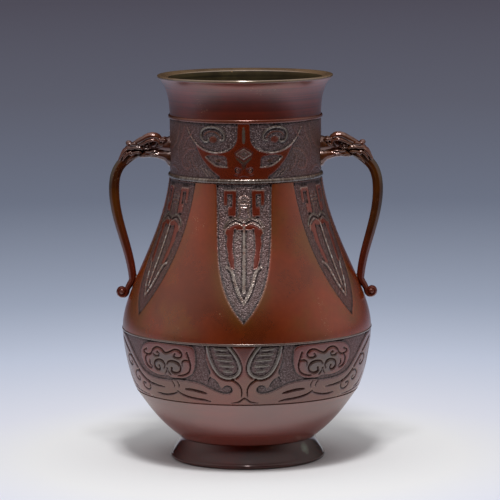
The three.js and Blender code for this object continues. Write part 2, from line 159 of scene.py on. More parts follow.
# %% [markdown]
# ## The studio
# The real vase stands on a sheet of white paper that ends a little way in front. Here the floor is one
# flat disc whose colour depends on the distance from the vase: it darkens to grey-blue farther off, which
# is painted shade for the light falling off away from the vase. The front grows dark, because the
# upright walls of the vase mirror it.

# %% Floor
floor_radius = 14.0
front_edge = [(0.18, 1.0), (0.32, 0.55), (0.5, 0.18), (0.85, 0.02)]
# The paper darkens to grey-blue with distance: painted shade for the light falling off.
paper_falloff_shade = [
    (0.17, tone(240, 240, 241)),
    (0.25, tone(228, 230, 241)),
    (0.50, tone(209, 217, 236)),
    (0.83, tone(181, 191, 212)),
    (1.75, tone(141, 149, 170)),
    (3.40, tone(128, 130, 147)),
    (7.00, tone(112, 109, 124)),
]


def new_object(name, mesh, material=None):
    """Puts a mesh in the scene as an object at the origin."""
    made = bpy.data.objects.new(name, mesh)
    bpy.context.scene.collection.objects.link(made)
    if material is not None:
        mesh.materials.append(material)
    return made


def paper_material():
    """Paper whose colour follows the square root of the distance from the vase."""
    material = bpy.data.materials.new("paper")
    material.use_nodes = True
    tree = material.node_tree
    tree.nodes.clear()
    place = node(tree, "ShaderNodeTexCoord").outputs["Object"]
    back = node(tree, "ShaderNodeSeparateXYZ", {0: place}).outputs["Y"]
    in_front = ramp(tree, times(tree, back, -1.0), front_edge, "LINEAR")
    distance = node(tree, "ShaderNodeVectorMath", {0: place}, operation="LENGTH").outputs["Value"]
    share = maths(tree, "POWER", maths(tree, "DIVIDE", distance, floor_radius), 0.5)
    stops = [(math.sqrt(far / floor_radius), colour) for far, colour in paper_falloff_shade]
    colour = mixed(tree, 1.0, ramp(tree, share, stops, "LINEAR"), in_front, "MULTIPLY")
    shader = node(tree, "ShaderNodeBsdfDiffuse", {"Color": colour})
    node(tree, "ShaderNodeOutputMaterial", {"Surface": shader.outputs[0]})
    return material


floor_mesh = bpy.data.meshes.new("floor")
floor_bm = bmesh.new()
bmesh.ops.create_circle(floor_bm, cap_ends=True, segments=96, radius=floor_radius)
floor_bm.to_mesh(floor_mesh)
floor_bm.free()
floor = new_object("floor", floor_mesh, paper_material())
print("floor radius in m:", floor_radius)

# %% [markdown]
# ## The light
# Polished bronze shows its surroundings, so the light is a room: dark at eye level, bright above, with
# a broad soft glow on the right and a weaker one on the left. A soft box hangs over the table's front,
# and a weak one farther out glints on the lip, the ridges and the edge of the foot.

# %% World and lamps
world = bpy.data.worlds.new("room")
bpy.context.scene.world = world
world.use_nodes = True
world_tree = world.node_tree
world_tree.nodes.clear()
gaze = node(world_tree, "ShaderNodeTexCoord").outputs["Generated"]
climb = node(world_tree, "ShaderNodeSeparateXYZ", {0: gaze}).outputs["Z"]
room_climb = [
    (0.0, tone(14, 14, 16)),
    (0.35, tone(16, 16, 18)),
    (0.55, tone(44, 44, 46)),
    (0.8, tone(176, 176, 178)),
    (1.0, tone(248, 248, 248)),
]
side_glows = [((0.96, 0.1, 0.24), 4.0, 0.38), ((-0.97, -0.1, 0.26), 4.2, 0.35)]
room = ramp(world_tree, climb, room_climb, "LINEAR")
for direction, narrowness, strength in side_glows:
    facing = node(world_tree, "ShaderNodeVectorMath", {0: gaze, 1: direction}, operation="DOT_PRODUCT")
    cosine = maths(world_tree, "MAXIMUM", facing.outputs["Value"], 0.0)
    panel = times(world_tree, maths(world_tree, "POWER", cosine, narrowness), strength)
    room = mixed(world_tree, 1.0, room, panel, "ADD")
backdrop = ramp(world_tree, climb, [(0.0, tone(72, 71, 81)), (0.5, tone(56, 56, 65))])
seen = node(world_tree, "ShaderNodeLightPath").outputs["Is Camera Ray"]
light = mixed(world_tree, seen, room, backdrop)
glow = node(world_tree, "ShaderNodeBackground", {"Color": light, "Strength": 1.15})
node(world_tree, "ShaderNodeOutputWorld", {"Surface": glow.outputs[0]})


def soft_box(name, place, target, width, height, power):
    """An area lamp at a place, turned to face a target."""
    data = bpy.data.lights.new(name, "AREA")
    data.shape = "RECTANGLE"
    data.size = width
    data.size_y = height
    data.energy = power
    lamp = bpy.data.objects.new(name, data)
    bpy.context.scene.collection.objects.link(lamp)
    lamp.location = place
    away = np.array(place) - np.array(target)
    pitch = math.atan2(math.hypot(away[0], away[1]), away[2])
    lamp.rotation_euler = (pitch, 0, math.atan2(away[0], -away[1]))
    return lamp


middle = (0, 0, 0.15)
soft_box("top_box", (0.0, -0.6, 1.5), middle, 0.24, 0.24, 12)
soft_box("front_box", (0.0, -1.02, 1.68), middle, 0.12, 0.12, 2.2)

# %% [markdown]
# ## Curves and meshes from arrays
# Each casting is a surface of two parameters: how far round the axis, and how far along a profile.
# The profiles are the same eased curves that the CAD model turns, worked out here in millimetres.

# %% Curve and mesh helpers
MM = 0.001


def cubic(a, b, c, d, steps):
    """The curve (1-t)^3 A + 3t(1-t)^2 B + 3t^2(1-t) C + t^3 D, for t from 0 to 1."""
    t = np.linspace(0, 1, steps + 1)[:, None]
    return (1 - t) ** 3 * a + 3 * t * (1 - t) ** 2 * b + 3 * t**2 * (1 - t) * c + t**3 * d


def eased_curve(start, start_angle, start_pull, end, end_angle, end_pull, steps=60):
    """A cubic curve in radius and height. Its two middle points lie from the ends along the given
    angles, at the given shares of the straight distance."""
    first, last = np.array(start, float), np.array(end, float)
    span = np.linalg.norm(last - first)
    lean = np.radians([start_angle, end_angle])
    leaving = first + start_pull * span * np.array([np.cos(lean[0]), np.sin(lean[0])])
    reaching = last - end_pull * span * np.array([np.cos(lean[1]), np.sin(lean[1])])
    return cubic(first, leaving, reaching, last, steps)


def smooth_path(points, steps=7):
    """A curve through the given points: between each two, a cubic whose slope at a point runs parallel
    to the line that joins that point's neighbours."""
    p = np.array(points, float)
    p = np.vstack([2 * p[0] - p[1], p, 2 * p[-1] - p[-2]])
    t = np.linspace(0, 1, steps, endpoint=False)[:, None]
    a, b, c, d = (x[:, None, :] for x in (p[:-3], p[1:-2], p[2:-1], p[3:]))
    curve = 0.5 * (2 * b + (c - a) * t + (2 * a - 5 * b + 4 * c - d) * t**2 + (3 * b - a - 3 * c + d) * t**3)
    return np.vstack([curve.reshape(-1, p.shape[1]), p[-2]])


def unit(vectors):
    """Each row of an array scaled to length 1."""
    return vectors / np.linalg.norm(vectors, axis=1)[:, None]


def step_up(low, high, value):
    """0 below low, 1 above high, and 3s^2 - 2s^3 between them."""
    share = np.clip((value - low) / (high - low), 0, 1)
    return share * share * (3 - 2 * share)


def grid_mesh(name, points, close_rows=False):
    """A mesh over a grid of points in millimetres. Each row closes round. Closing the rows joins the
    last one to the first."""
    rows, columns = points.shape[:2]
    mesh = bpy.data.meshes.new(name)
    row = np.arange(rows if close_rows else rows - 1)[:, None]
    column = np.arange(columns)[None, :]
    here, above = row * columns, (row + 1) % rows * columns
    beside = (column + 1) % columns
    corners = [here + column, here + beside, above + beside, above + column]
    faces = np.stack(np.broadcast_arrays(*corners), -1).reshape(-1, 4)
    mesh.vertices.add(rows * columns)
    mesh.vertices.foreach_set("co", (points * MM).astype(np.float32).ravel())
    mesh.loops.add(faces.size)
    mesh.loops.foreach_set("vertex_index", faces.astype(np.int32).ravel())
    mesh.polygons.add(len(faces))
    mesh.polygons.foreach_set("loop_start", np.arange(len(faces), dtype=np.int32) * 4)
    mesh.update(calc_edges=True)
    mesh.validate()
    return mesh


def merged_mesh(name, grids, close_rows=False):
    """Closed grids put into one mesh, with double points merged and faces turned outwards."""
    gathered = bmesh.new()
    for grid in grids:
        part = grid_mesh(name + "_part", grid, close_rows)
        gathered.from_mesh(part)
        bpy.data.meshes.remove(part)
    bmesh.ops.remove_doubles(gathered, verts=gathered.verts, dist=1e-6)
    bmesh.ops.recalc_face_normals(gathered, faces=gathered.faces)
    mesh = bpy.data.meshes.new(name)
    gathered.to_mesh(mesh)
    gathered.free()
    return mesh


def vertex_rows(mesh, kind):
    """For each point of a mesh its place in metres, "co", or its outward direction, "normal"."""
    rows = np.empty(len(mesh.vertices) * 3, np.float32)
    mesh.vertices.foreach_get(kind, rows)
    return rows.reshape(-1, 3)


def mesh_points(mesh):
    """The mesh's points as an array in millimetres."""
    return vertex_rows(mesh, "co").astype(float) / MM


def set_points(mesh, points):
    """Puts an array of places in millimetres back into a mesh."""
    mesh.vertices.foreach_set("co", (points * MM).astype(np.float32).ravel())
    mesh.update()


def tag(mesh, name, values):
    """Stores one number for each point of a mesh, for its material to read."""
    mesh.attributes.new(name, "FLOAT", "POINT").data.foreach_set("value", values.astype(np.float32).ravel())


def finish_piece(piece, node_name, sharp_angle=40):
    """Smooth shading with sharp corners; the piece hangs under the root, and the CAD node it stands for is
    hidden.
    """
    piece.data.polygons.foreach_set("use_smooth", np.ones(len(piece.data.polygons), bool))
    piece.data.set_sharp_from_angle(angle=math.radians(sharp_angle))
    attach(piece, "root")
    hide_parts(node_name)
    triangles = sum(len(face.vertices) - 2 for face in piece.data.polygons)
    print(piece.name, "triangles:", triangles)
    return piece


# %% [markdown]
# ## The vessel's sizes
# These are the heights and radii of the real vase's zones, from the table up, in millimetres. They
# repeat the CAD model's named values, because the ornament has to land on the same walls.

# %% Sizes of the vessel
foot_top = 17.5
frieze_bottom = 55.0
frieze_top = 103.0
seam = 221.0
ridge_middle = 268.0
rim = 300.0
foot_radius, foot_top_radius = 60.5, 53.0
frieze_bottom_radius, belly_radius = 86.7, 97.1
neck_radius, mouth_radius = 59.4, 68.2
wall, foot_wall = 3.4, 4.4
ground_depth = 0.7
bead_height, bead_proud = 3.2, 1.0
ridge_height, ridge_proud = 2.6, 0.5
line_height, line_proud = 1.6, 0.42
neck_ground = neck_radius - ground_depth
neck_inside = neck_radius - wall

spigot = 8.0
clearance = 0.3
lip_width, lip_depth, lip_dip = 8.0, 2.4, 1.6

frieze_foot, frieze_head = (frieze_bottom_radius, frieze_bottom), (belly_radius, frieze_top)
underbelly = eased_curve((foot_top_radius, foot_top), 36, 0.4, frieze_foot, 55, 0.34)
frieze_wall = eased_curve(frieze_foot, 61, 0.24, frieze_head, 90, 0.24)
shoulder = eased_curve(frieze_head, 90, 0.24, (neck_radius, seam), 96.6, 0.4, 160)
mouth_start = (neck_ground, ridge_middle + ridge_height / 2)
mouth = eased_curve(mouth_start, 90, 0.47, (mouth_radius - 0.8, rim - lip_depth), 38, 0.24)
throat_end = (neck_inside, ridge_middle + ridge_height)
throat = eased_curve((mouth_radius - lip_width, rim - lip_dip), 228, 0.18, throat_end, 270, 0.43)


def at_heights(curve, heights):
    """The curve's radius at each height, as rows of radius and height."""
    return np.column_stack([np.interp(heights, curve[:, 1], curve[:, 0]), heights])


def outward(profile):
    """The outward direction at each point of a climbing profile: its own direction turned a quarter."""
    along = unit(np.gradient(profile, axis=0))
    return np.column_stack([along[:, 1], -along[:, 0]])


def half_round(radius, centre, height, proud, steps=8):
    """A raised line's section: radius + proud cos a, centre + height/2 sin a, for a from -90 to 90."""
    turn = np.linspace(-0.5, 0.5, steps + 1) * np.pi
    return np.column_stack([radius + proud * np.cos(turn), centre + height / 2 * np.sin(turn)])


def turned(profile, degrees):
    """A profile of radius and height carried round the axis. Degrees run from the front to the right."""
    turn = np.radians(degrees)[None, :]
    radius, height = profile[..., 0], profile[..., 1]
    if radius.ndim == 1:
        radius, height = radius[:, None], height[:, None] + 0 * turn
    return np.stack([radius * np.sin(turn), -radius * np.cos(turn), height], -1)


# %% [markdown]
# ## Carving
# The relief is cast from a carved wax. A wall is laid out flat as a sheet, with the place along it and
# the height up it in millimetres. Every line is a distance to a curve, and every field is a distance
# to its outline. So the edges stay round and the same width on any wall.

# %% Carving tools
carved_masks = ("ground", "worn", "olive", "red", "amber")
mask_names = (*carved_masks, "hollow", "proud")


class Sheet:
    """A wall laid out flat. It holds the relief in millimetres and the masks that the finish reads.
    Ornament is given as degrees and height, and scale is the millimetres of a degree at a height."""

    def __init__(self, degrees, up, scale):
        self.scale = scale
        self.along, self.up = degrees * scale(up), up
        for name in ("relief", *carved_masks):
            setattr(self, name, np.zeros(up.shape))

    def places(self, points):
        """Points given as degrees and height, as places on the sheet in millimetres."""
        points = np.array(points, float)
        return np.column_stack([points[:, 0] * self.scale(points[:, 1]), points[:, 1]])

    def to_line(self, line, reach):
        """Distance to a line of points, and how far along it the nearest place is, from 0 to 1."""
        distance = np.full(self.along.shape, 1e3)
        share = np.zeros(self.along.shape)
        low, high = line.min(0) - reach, line.max(0) + reach
        near = (self.along > low[0]) & (self.along < high[0]) & (self.up > low[1]) & (self.up < high[1])
        x, y = self.along[near], self.up[near]
        best, best_share = np.full(x.shape, 1e3), np.zeros(x.shape)
        lengths = np.linalg.norm(np.diff(line, axis=0), axis=1)
        reached = np.concatenate([[0], np.cumsum(lengths)])
        for start, step, length, before in zip(line[:-1], np.diff(line, axis=0), lengths, reached):
            if length == 0:
                continue
            t = np.clip(((x - start[0]) * step[0] + (y - start[1]) * step[1]) / length**2, 0, 1)
            away = np.hypot(x - start[0] - t * step[0], y - start[1] - t * step[1])
            closer = away < best
            best[closer] = away[closer]
            best_share[closer] = (before + t[closer] * length) / reached[-1]
        distance[near], share[near] = best, best_share
        return distance, share

    def line_cover(self, points, half_width, taper=(1, 1), sharp=False):
        """How much a line covers each place: the root of 1 - (distance / half-width)^2. Taper is the
        share of the width at each end."""
        line = self.places(points) if sharp else smooth_path(self.places(points))
        distance, share = self.to_line(line, 2 * half_width + 1)
        width = half_width * np.interp(share, [0, 0.25, 0.75, 1], [taper[0], 1, 1, taper[1]])
        return np.sqrt(np.clip(1 - (distance / width) ** 2, 0, 1))

    def field_cover(self, points, sharp=False, edge=0.3):
        """How much a closed field covers each place. It fades over the edge's width."""
        outline = self.places([*points, points[0]])
        line = outline if sharp else smooth_path(outline)
        distance, _ = self.to_line(line, 2.0)
        inside = np.zeros(self.along.shape, bool)
        for a, b in zip(line[:-1], line[1:]):
            if a[1] == b[1]:
                continue
            crosses = (a[1] > self.up) != (b[1] > self.up)
            inside ^= crosses & (self.along < a[0] + (self.up - a[1]) * (b[0] - a[0]) / (b[1] - a[1]))
        return step_up(-edge, edge, np.where(inside, distance, -distance))

    def settle(self, cover, level, **amounts):
        """Moves the relief to a level where the cover is 1, and paints the named masks."""
        self.relief += cover * (level - self.relief)
        for name, amount in amounts.items():
            mask = getattr(self, name)
            mask += cover * (amount - mask)

    def raise_line(self, points, half_width, level, worn=0.0, olive=0.0, bare=1.0, **shape):
        """A raised wire with a round top. It only ever adds height. Bare is how much ground it clears."""
        cover = self.line_cover(points, half_width, **shape)
        flat = step_up(0, 0.5, cover)
        self.relief = np.maximum(self.relief, self.relief + cover * (level - self.relief))
        self.ground *= 1 - bare * flat
        self.red *= 1 - flat
        self.worn = np.maximum(self.worn * (1 - flat), worn * flat)
        self.olive = np.maximum(self.olive * (1 - flat), olive * flat)

    def cut_line(self, points, half_width, depth, **shape):
        """A groove with a round bottom."""
        cover = self.line_cover(points, half_width, **shape)
        self.relief -= cover * depth
        self.worn *= 1 - cover
        self.olive *= 1 - 0.6 * cover


def mirrored(points):
    """The left half of an outline, added to its right half."""
    return [*points, *[(-degrees, height) for degrees, height in reversed(points)]]


def ripple(along, up, seed, size):
    """A gentle unevenness from -1 to 1: six waves in seeded directions, added up."""
    draw = np.random.default_rng(seed)
    turns, phases, pitches = draw.uniform(0, np.pi, 6), draw.uniform(0, 6.3, 6), draw.uniform(0.7, 1.5, 6)
    total = np.zeros(np.broadcast(along, up).shape)
    for turn, phase, pitch in zip(turns, phases, pitches):
        total += np.sin((along * np.cos(turn) + up * np.sin(turn)) * 2 * np.pi / (size * pitch) + phase)
    return total / 6


def blurred(values, reach):
    """Each value averaged with its neighbours, first up and down, then round the ring."""
    rows, steps = np.arange(len(values)), range(-reach, reach + 1)
    up = np.mean([values[np.clip(rows + step, 0, rows[-1])] for step in steps], 0)
    return np.mean([np.roll(up, step, 1) for step in steps], 0)


print("carving tools ready; masks:", mask_names)

# %% [markdown]
# ## The mask on the neck
# A horned beast looks out from the neck, as on old ritual bronzes: ring eyes in great sockets, a
# smooth face plate, a diamond on the brow and scrolled nostrils, all on a punched ground. The same
# mask is on the front and the back. So only a quarter of the band is carved, and it is folded round.

# %% Neck carving
neck_scale = np.radians(neck_radius)
face_outline = [
    (4.2, 268.5), (4.5, 262), (4.9, 255), (6.4, 250.6), (9.2, 247.3), (13, 245.3), (21, 243.9),
    (31, 246), (38.6, 250.6), (36.6, 245.5), (33.3, 240), (29, 235), (24, 230), (18.5, 226.1), (15, 222),
]
socket_arc = [
    (47.5, 262.6), (44.5, 257.4), (40, 252), (35.5, 248.7), (31, 246.4), (26, 244.9), (21, 244.3),
    (16, 244.9), (12.6, 246.2), (9.6, 248.2),
]
eye_ring = [
    (27.0, 255.2), (27.2, 253.2), (29.2, 252.2), (31.8, 253.2), (33.6, 256.2), (33.2, 260),
    (30, 262.7), (24.5, 263.8), (19, 262.5), (15.4, 259.5), (14.4, 256.2), (15.6, 253.9), (18, 253.8),
]
brow_in_eye = [(30.6, 257.0), (29, 259.3), (25.5, 260.3), (21.5, 259.8), (18.3, 257.6), (17.2, 255.7)]
cheek_hollow = [
    (12.2, 233.4), (13.2, 240.6), (18, 242.2), (25, 242.3), (29.4, 240.8), (24.5, 236.3), (19, 233.8),
]
cheek_line = [(29.6, 241), (27, 238.4), (24, 236.2), (21, 234.5), (18, 233.8), (11.8, 233.4)]
brow_hollow = [(0, 248.9), (3.5, 246.9), (7.2, 244.2), (6.6, 241.3), (4.4, 238.4), (2.4, 235.4), (0, 231.8)]
horn = [
    (40, 246.5), (45.5, 245.6), (51, 241.6), (54.5, 236.6), (52.5, 231.6), (47.5, 230.4), (44.2, 233.2),
    (46, 236.4),
]


def spiral(centre, radius, turns, start, shrink, count=22):
    """A curl about a place on the sheet: the radius shrinks evenly as the angle grows."""
    share = np.linspace(0, 1, count)
    angle = np.radians(start) + 2 * np.pi * turns * share
    reach = radius * (1 - (1 - shrink) * share)
    return np.column_stack([centre[0] + reach * np.cos(angle), centre[1] + reach * np.sin(angle)])


def carve_neck(sheet):
    """The mask, from the lowest field to the highest line."""
    sheet.settle(np.ones(sheet.along.shape), -ground_depth, ground=1.0)
    sheet.settle(sheet.field_cover(mirrored(face_outline), edge=0.35), -0.12, ground=0.0, red=0.8)
    sheet.settle(sheet.field_cover(cheek_hollow), -0.6, ground=0.9, red=0.0)
    sheet.settle(sheet.field_cover(mirrored(brow_hollow), sharp=True), -0.4, ground=0.1, red=0.8)
    for line, half_width, level, worn, olive in [
        (socket_arc, 0.45, 0.3, 0.9, 0.2),
        (eye_ring, 0.8, 0.1, 0.45, 1.0),
        (brow_in_eye, 0.6, -0.15, 0.0, 0.4),
        (cheek_line, 0.42, 0.2, 0.85, 0.3),
        ([(0, 252.3), (0.05, 263.6)], 1.0, 0.15, 0.25, 1.0),
        ([(28.5, 226.4), (33.6, 232.4)], 0.36, 0.0, 0.8, 0.2),
        ([(25.4, 226.2), (30.2, 231.4)], 0.34, 0.0, 0.8, 0.2),
        ([(22.2, 226), (26.6, 230)], 0.3, 0.0, 0.7, 0.2),
    ]:
        sheet.raise_line(line, half_width, level, worn=worn, olive=olive, taper=(0.9, 0.6))
    for line, half_width in [
        (horn, 1.3),
        ([(57.5, 264), (60.5, 255), (66, 248), (73, 244.5), (80, 245)], 1.3),
        ([(51, 263), (53.4, 256), (58, 249.6), (60, 243), (58.5, 236)], 1.1),
        ([(60, 228), (66, 231), (73, 230.4), (79, 227)], 1.3),
        ([(40, 262), (44, 256.5), (48.5, 253), (53, 246)], 0.9),
        ([(36, 229), (41, 234), (42.5, 240.5), (39.5, 244.5)], 0.9),
    ]:
        sheet.raise_line(line, half_width, -0.32, bare=0.25, taper=(0.6, 0.6))
    pupil = np.hypot((sheet.along - 23.4 * neck_scale) / 3.2, (sheet.up - 254.2) / 2.6)
    sheet.settle(step_up(1.15, 0.85, pupil), -0.2, ground=0.25, red=0.5)
    boss = np.hypot((sheet.along - 19.4 * neck_scale) / 2.1, (sheet.up - 238) / 1.6)
    sheet.settle(step_up(1.2, 0.6, boss), -0.1, ground=0.0, olive=0.9)
    for side in (1, -1):
        diamond = [(0, 247.4), (5.6 * side, 243.6), (0, 239.8)]
        sheet.raise_line(diamond, 0.4, 0.1, worn=0.9, olive=0.3, sharp=True)
        leaf = [(5.6 * side, 240.6), (2.9 * side, 238.4), (0, 236.4)]
        sheet.raise_line(leaf, 0.9, -0.1, worn=0.05, olive=0.9, taper=(0.3, 1))
    sheet.raise_line([(0, 236.4), (0, 232)], 0.7, -0.1, olive=0.8, taper=(1, 0.5))
    kernel = abs(sheet.along) / (3.6 * neck_scale) + abs(sheet.up - 243.6) / 2.5
    sheet.settle(step_up(1.1, 0.9, kernel), -0.3, ground=0.6, olive=0.6, red=0.2)
    sheet.settle(step_up(0.55, 0.4, kernel), -0.05, ground=0.0, olive=0.8, worn=0.2)
    nostril, in_degrees = (4.7 * neck_scale, 231.3), [1 / neck_scale, 1]
    scroll = spiral(nostril, 2.6, 1.3, 150, 0.25) * in_degrees
    sheet.cut_line(scroll, 0.6, 0.6, taper=(0.5, 0.8))
    wire = spiral(nostril, 1.0, 0.7, 230, 0.7, 8) * in_degrees
    sheet.raise_line(wire, 0.4, -0.1, worn=0.1, olive=0.6)
    smile = [(1.4, 235), (1.2, 231.5), (2.3, 228.6), (5, 227.1), (8.4, 227.8)]
    sheet.cut_line(smile, 0.42, 0.4, taper=(0.4, 0.3))
    sheet.cut_line([(0.2, 226.3), (3, 225.9), (7, 226.3)], 0.4, 0.35)
    sheet.relief += 0.09 * sheet.ground * ripple(sheet.along, sheet.up, 3, 2.4)


print("mask lines:", len(socket_arc), len(eye_ring))

# %% [markdown]
# ## The frieze on the belly
# Cloud heads, waves and two ribbed shields run round the widest part. Here the ornament is the skin
# itself: broad bands parted by cut lines, with sunk pools of punched ground between them.

# %% Frieze carving
frieze_middle_radius = 92.8
frieze_scale = np.radians(frieze_middle_radius)
ground_pool = [
    (17.6, 103.5), (77, 103.5), (73, 99.8), (69, 96), (65, 90), (61, 83), (57.2, 77.4), (52, 73.9),
    (45, 72.5), (38, 72.4), (35.2, 73.2), (32.5, 73.3), (28, 73.4), (22, 72.2), (17, 69), (14, 66.6),
    (11, 65), (8.3, 64.5), (6.2, 65.8), (5.6, 68.4), (6.7, 71), (8.6, 71.5), (9.9, 70.3), (10.7, 69.1),
    (11.6, 70.6), (12.5, 73.5), (14.2, 76.4), (16.4, 78.4), (15.6, 81.5), (16.6, 86), (17.4, 93),
]
cloud_head = [
    (23, 98), (24.5, 100.5), (29.5, 101.6), (37, 101.5), (44.5, 101.2), (51.5, 99.3), (55.5, 94.5),
    (56.5, 88), (54.5, 81.5), (50, 77.4), (44, 75.8), (39.3, 76.6), (37.3, 75.3), (34.5, 75),
    (29.5, 75.8), (25.5, 79), (23.6, 84), (22.8, 91),
]
shield = [
    (7.3, 102.4), (4.6, 96.5), (2.7, 90.5), (2.0, 84), (3.8, 79.2), (7.3, 77.4), (10.4, 78.7),
    (12.8, 82.3), (14.7, 88), (16, 95), (16.8, 102.4),
]
shield_bars = [(82.4, 5.6, 9.4), (86.7, 4.9, 11.3), (91.1, 5.2, 12.4), (95.4, 6.2, 13.1), (99.4, 7.8, 13.6)]
cut_lines = [
    # the cloud head's scalloped crest, which ends in a curl on both sides
    ([(51.2, 95.4), (52.6, 94.4), (53.9, 93.4), (52.9, 91.5), (50.2, 91), (48.2, 92.6), (46.6, 95.8),
      (44, 97.8), (41.2, 97), (38.9, 94.2), (36.5, 95.2), (33.5, 97.4), (30.9, 97), (29.6, 94.3),
      (30.6, 91.6), (32.8, 91.2), (34, 92.6), (33.2, 94.2)], 1.0, (0.6, 0.7)),
    ([(46.7, 92.8), (45.8, 91), (43.7, 91), (42.9, 92.8), (44, 94.2)], 0.9, (0.5, 0.9)),
    # the line inside its near edge, and two hooks
    ([(26.8, 96), (26, 91), (25.5, 86), (26.4, 81), (29.3, 78), (33, 77.1)], 1.0, (0.6, 0.4)),
    ([(29.7, 85), (29.8, 87.6), (28.7, 89.4), (26.8, 89.9)], 0.9, (0.6, 0.8)),
    ([(51.8, 90.4), (53.1, 88), (53.1, 84.2), (51.6, 81.3), (49.2, 80.4)], 1.15, (0.8, 0.5)),
    ([(49.9, 86.8), (50.1, 83.6), (48.7, 81.4)], 0.9, (0.6, 0.8)),
    # its two great volutes and the stem between them
    ([(35.9, 82.4), (36.2, 80.7), (34.9, 79.3), (33, 79.3), (31.4, 81), (30.8, 84), (31.9, 87),
      (34.6, 88.3), (37.3, 87.6), (38.6, 85.4)], 1.2, (1.2, 0.5)),
    ([(43.6, 83), (43.4, 81.2), (44.4, 80.1), (45.9, 80.9), (46.9, 83.4), (46, 86.4), (43.4, 88.3),
      (40.9, 87.2), (39.9, 84.4), (40.6, 81.8)], 1.2, (1.2, 0.5)),
    ([(38.6, 83.5), (38.2, 80), (36.9, 77.2)], 0.6, (0.3, 1)),
    ([(39.2, 83), (39.3, 80), (40.4, 77.4)], 0.6, (0.3, 1)),
    # the long wave that climbs to the handle, its return and the curls that break from it
    ([(80, 97.6), (75, 93.8), (71, 89.8), (67.5, 85.5), (64, 80.4), (60.5, 74.6), (57, 70.8),
      (53.5, 68.4), (48, 67.1), (42.3, 66.6)], 1.15, (1, 0.25)),
    ([(34.8, 63.4), (37.4, 61.9), (41, 60.6), (45, 60.2), (49, 61)], 0.95, (0.5, 0.4)),
    ([(36.9, 72.2), (36, 69.7), (35.9, 67.2)], 0.6, (1, 0.2)),
    ([(33.9, 72.8), (33.1, 70), (33.3, 67.2)], 0.5, (1, 0.2)),
    ([(54.3, 69.6), (53.6, 66), (54.4, 62.8), (57, 61.6), (59.5, 62.9), (60.3, 65.4), (59, 67),
      (57.3, 66.2)], 0.8, (0.8, 0.8)),
    ([(61.4, 75.6), (64.4, 75), (67, 72), (66.3, 68.7), (64, 67.4), (62.5, 68.8),
      (63.2, 70.6)], 0.8, (0.8, 0.8)),
    ([(67.8, 85.8), (71, 86.2), (73.6, 83.4), (72.6, 79.6), (70, 78), (68.2, 79.4),
      (69, 81.4)], 0.8, (0.8, 0.8)),
    ([(77.5, 70), (75.6, 65), (72.4, 61.6), (68.6, 60.4)], 0.9, (0.4, 0.4)),
    ([(80, 59.8), (71, 58.6), (62, 57.4), (53.5, 56.7)], 0.5, (0.4, 0.3)),
    ([(83, 90), (81.2, 83), (82, 76), (85, 71)], 0.8, (0.4, 0.4)),
    # the leaf under the wave, with its lens
    ([(34.6, 64.6), (32, 62.2), (28.4, 60.5), (24, 59.5), (20, 58.9), (17, 57.8)], 1.0, (0.6, 0.4)),
    ([(17.9, 64.3), (22, 65.8), (26, 66.8), (29.6, 66.9)], 1.1, (0.1, 0.6)),
    # the comma's edge beside the middle web, and the bracket at the foot of the web
    ([(5.4, 76.2), (3.1, 73.2), (1.7, 69.6), (1.2, 65), (1.7, 61.6)], 0.85, (1, 0.4)),
    ([(6.8, 56.9), (3.2, 57.8), (1, 60.3), (0, 61.3)], 0.85, (0.4, 1)),
    ([(15.4, 79), (16.8, 75.6), (17.6, 72)], 0.45, (0.8, 0.3)),
]


def carve_frieze(sheet):
    """Pools of ground first, then the islands in them, then the cut lines, then the raised wires."""
    greyed = step_up(3, 16, sheet.along) * step_up(1.0, 0.3, abs(sheet.up - 79) / 30)
    sheet.olive += 0.3 * greyed
    sheet.settle(sheet.field_cover(ground_pool), -ground_depth, ground=1.0)
    sheet.settle(sheet.field_cover(cloud_head), 0.0, ground=0.0, olive=0.1, red=0.6)
    middle_of_cloud = np.hypot((sheet.along - 39 * frieze_scale) / 17, (sheet.up - 85.5) / 8.5)
    sheet.settle(step_up(1.3, 0.7, middle_of_cloud), 0.0, olive=0.8, red=0.0)
    sheet.cut_line(shield, 2.5, 0.66)
    sheet.settle(sheet.field_cover(shield), -0.66, ground=0.8, olive=0.0)
    for line, half_width, taper in cut_lines:
        sheet.cut_line(line, half_width, 0.68, taper=taper)
    sheet.raise_line(shield, 1.15, 0.12, worn=0.3, olive=1.0)
    for height, near, far in shield_bars:
        bar = [(near, height - 0.2), (far, height + 0.3)]
        sheet.raise_line(bar, 1.05, -0.05, worn=0.25, olive=1.0, taper=(0.7, 0.7))
    sheet.relief -= 0.5 * step_up(0.75, 0.35, abs(sheet.up - 55.5))
    sheet.relief -= 0.35 * step_up(0.5, 0.1, abs(sheet.up - 101.9)) * (1 - sheet.ground)
    sheet.relief += 0.07 * sheet.ground * ripple(sheet.along, sheet.up, 5, 2.6)
    sheet.relief += 0.03 * ripple(sheet.along, sheet.up, 8, 14)


print("cut lines on a quarter of the frieze:", len(cut_lines))

# %% [markdown]
# ## The hanging blades
# Six long leaves hang from the neck over the shoulder. In each sunk, punched field stand a pair of
# square hooks, a stacked stem, a moustache, two side arms and a thin midrib over a pointed V.

# %% Blade carving


def shoulder_scale(height):
    """Millimetres for one degree round the shoulder at a height."""
    return np.radians(np.interp(height, shoulder[:, 1], shoulder[:, 0]))


blade_half_angle = 21.0
blade_top, blade_tip = 220.4, 118.8
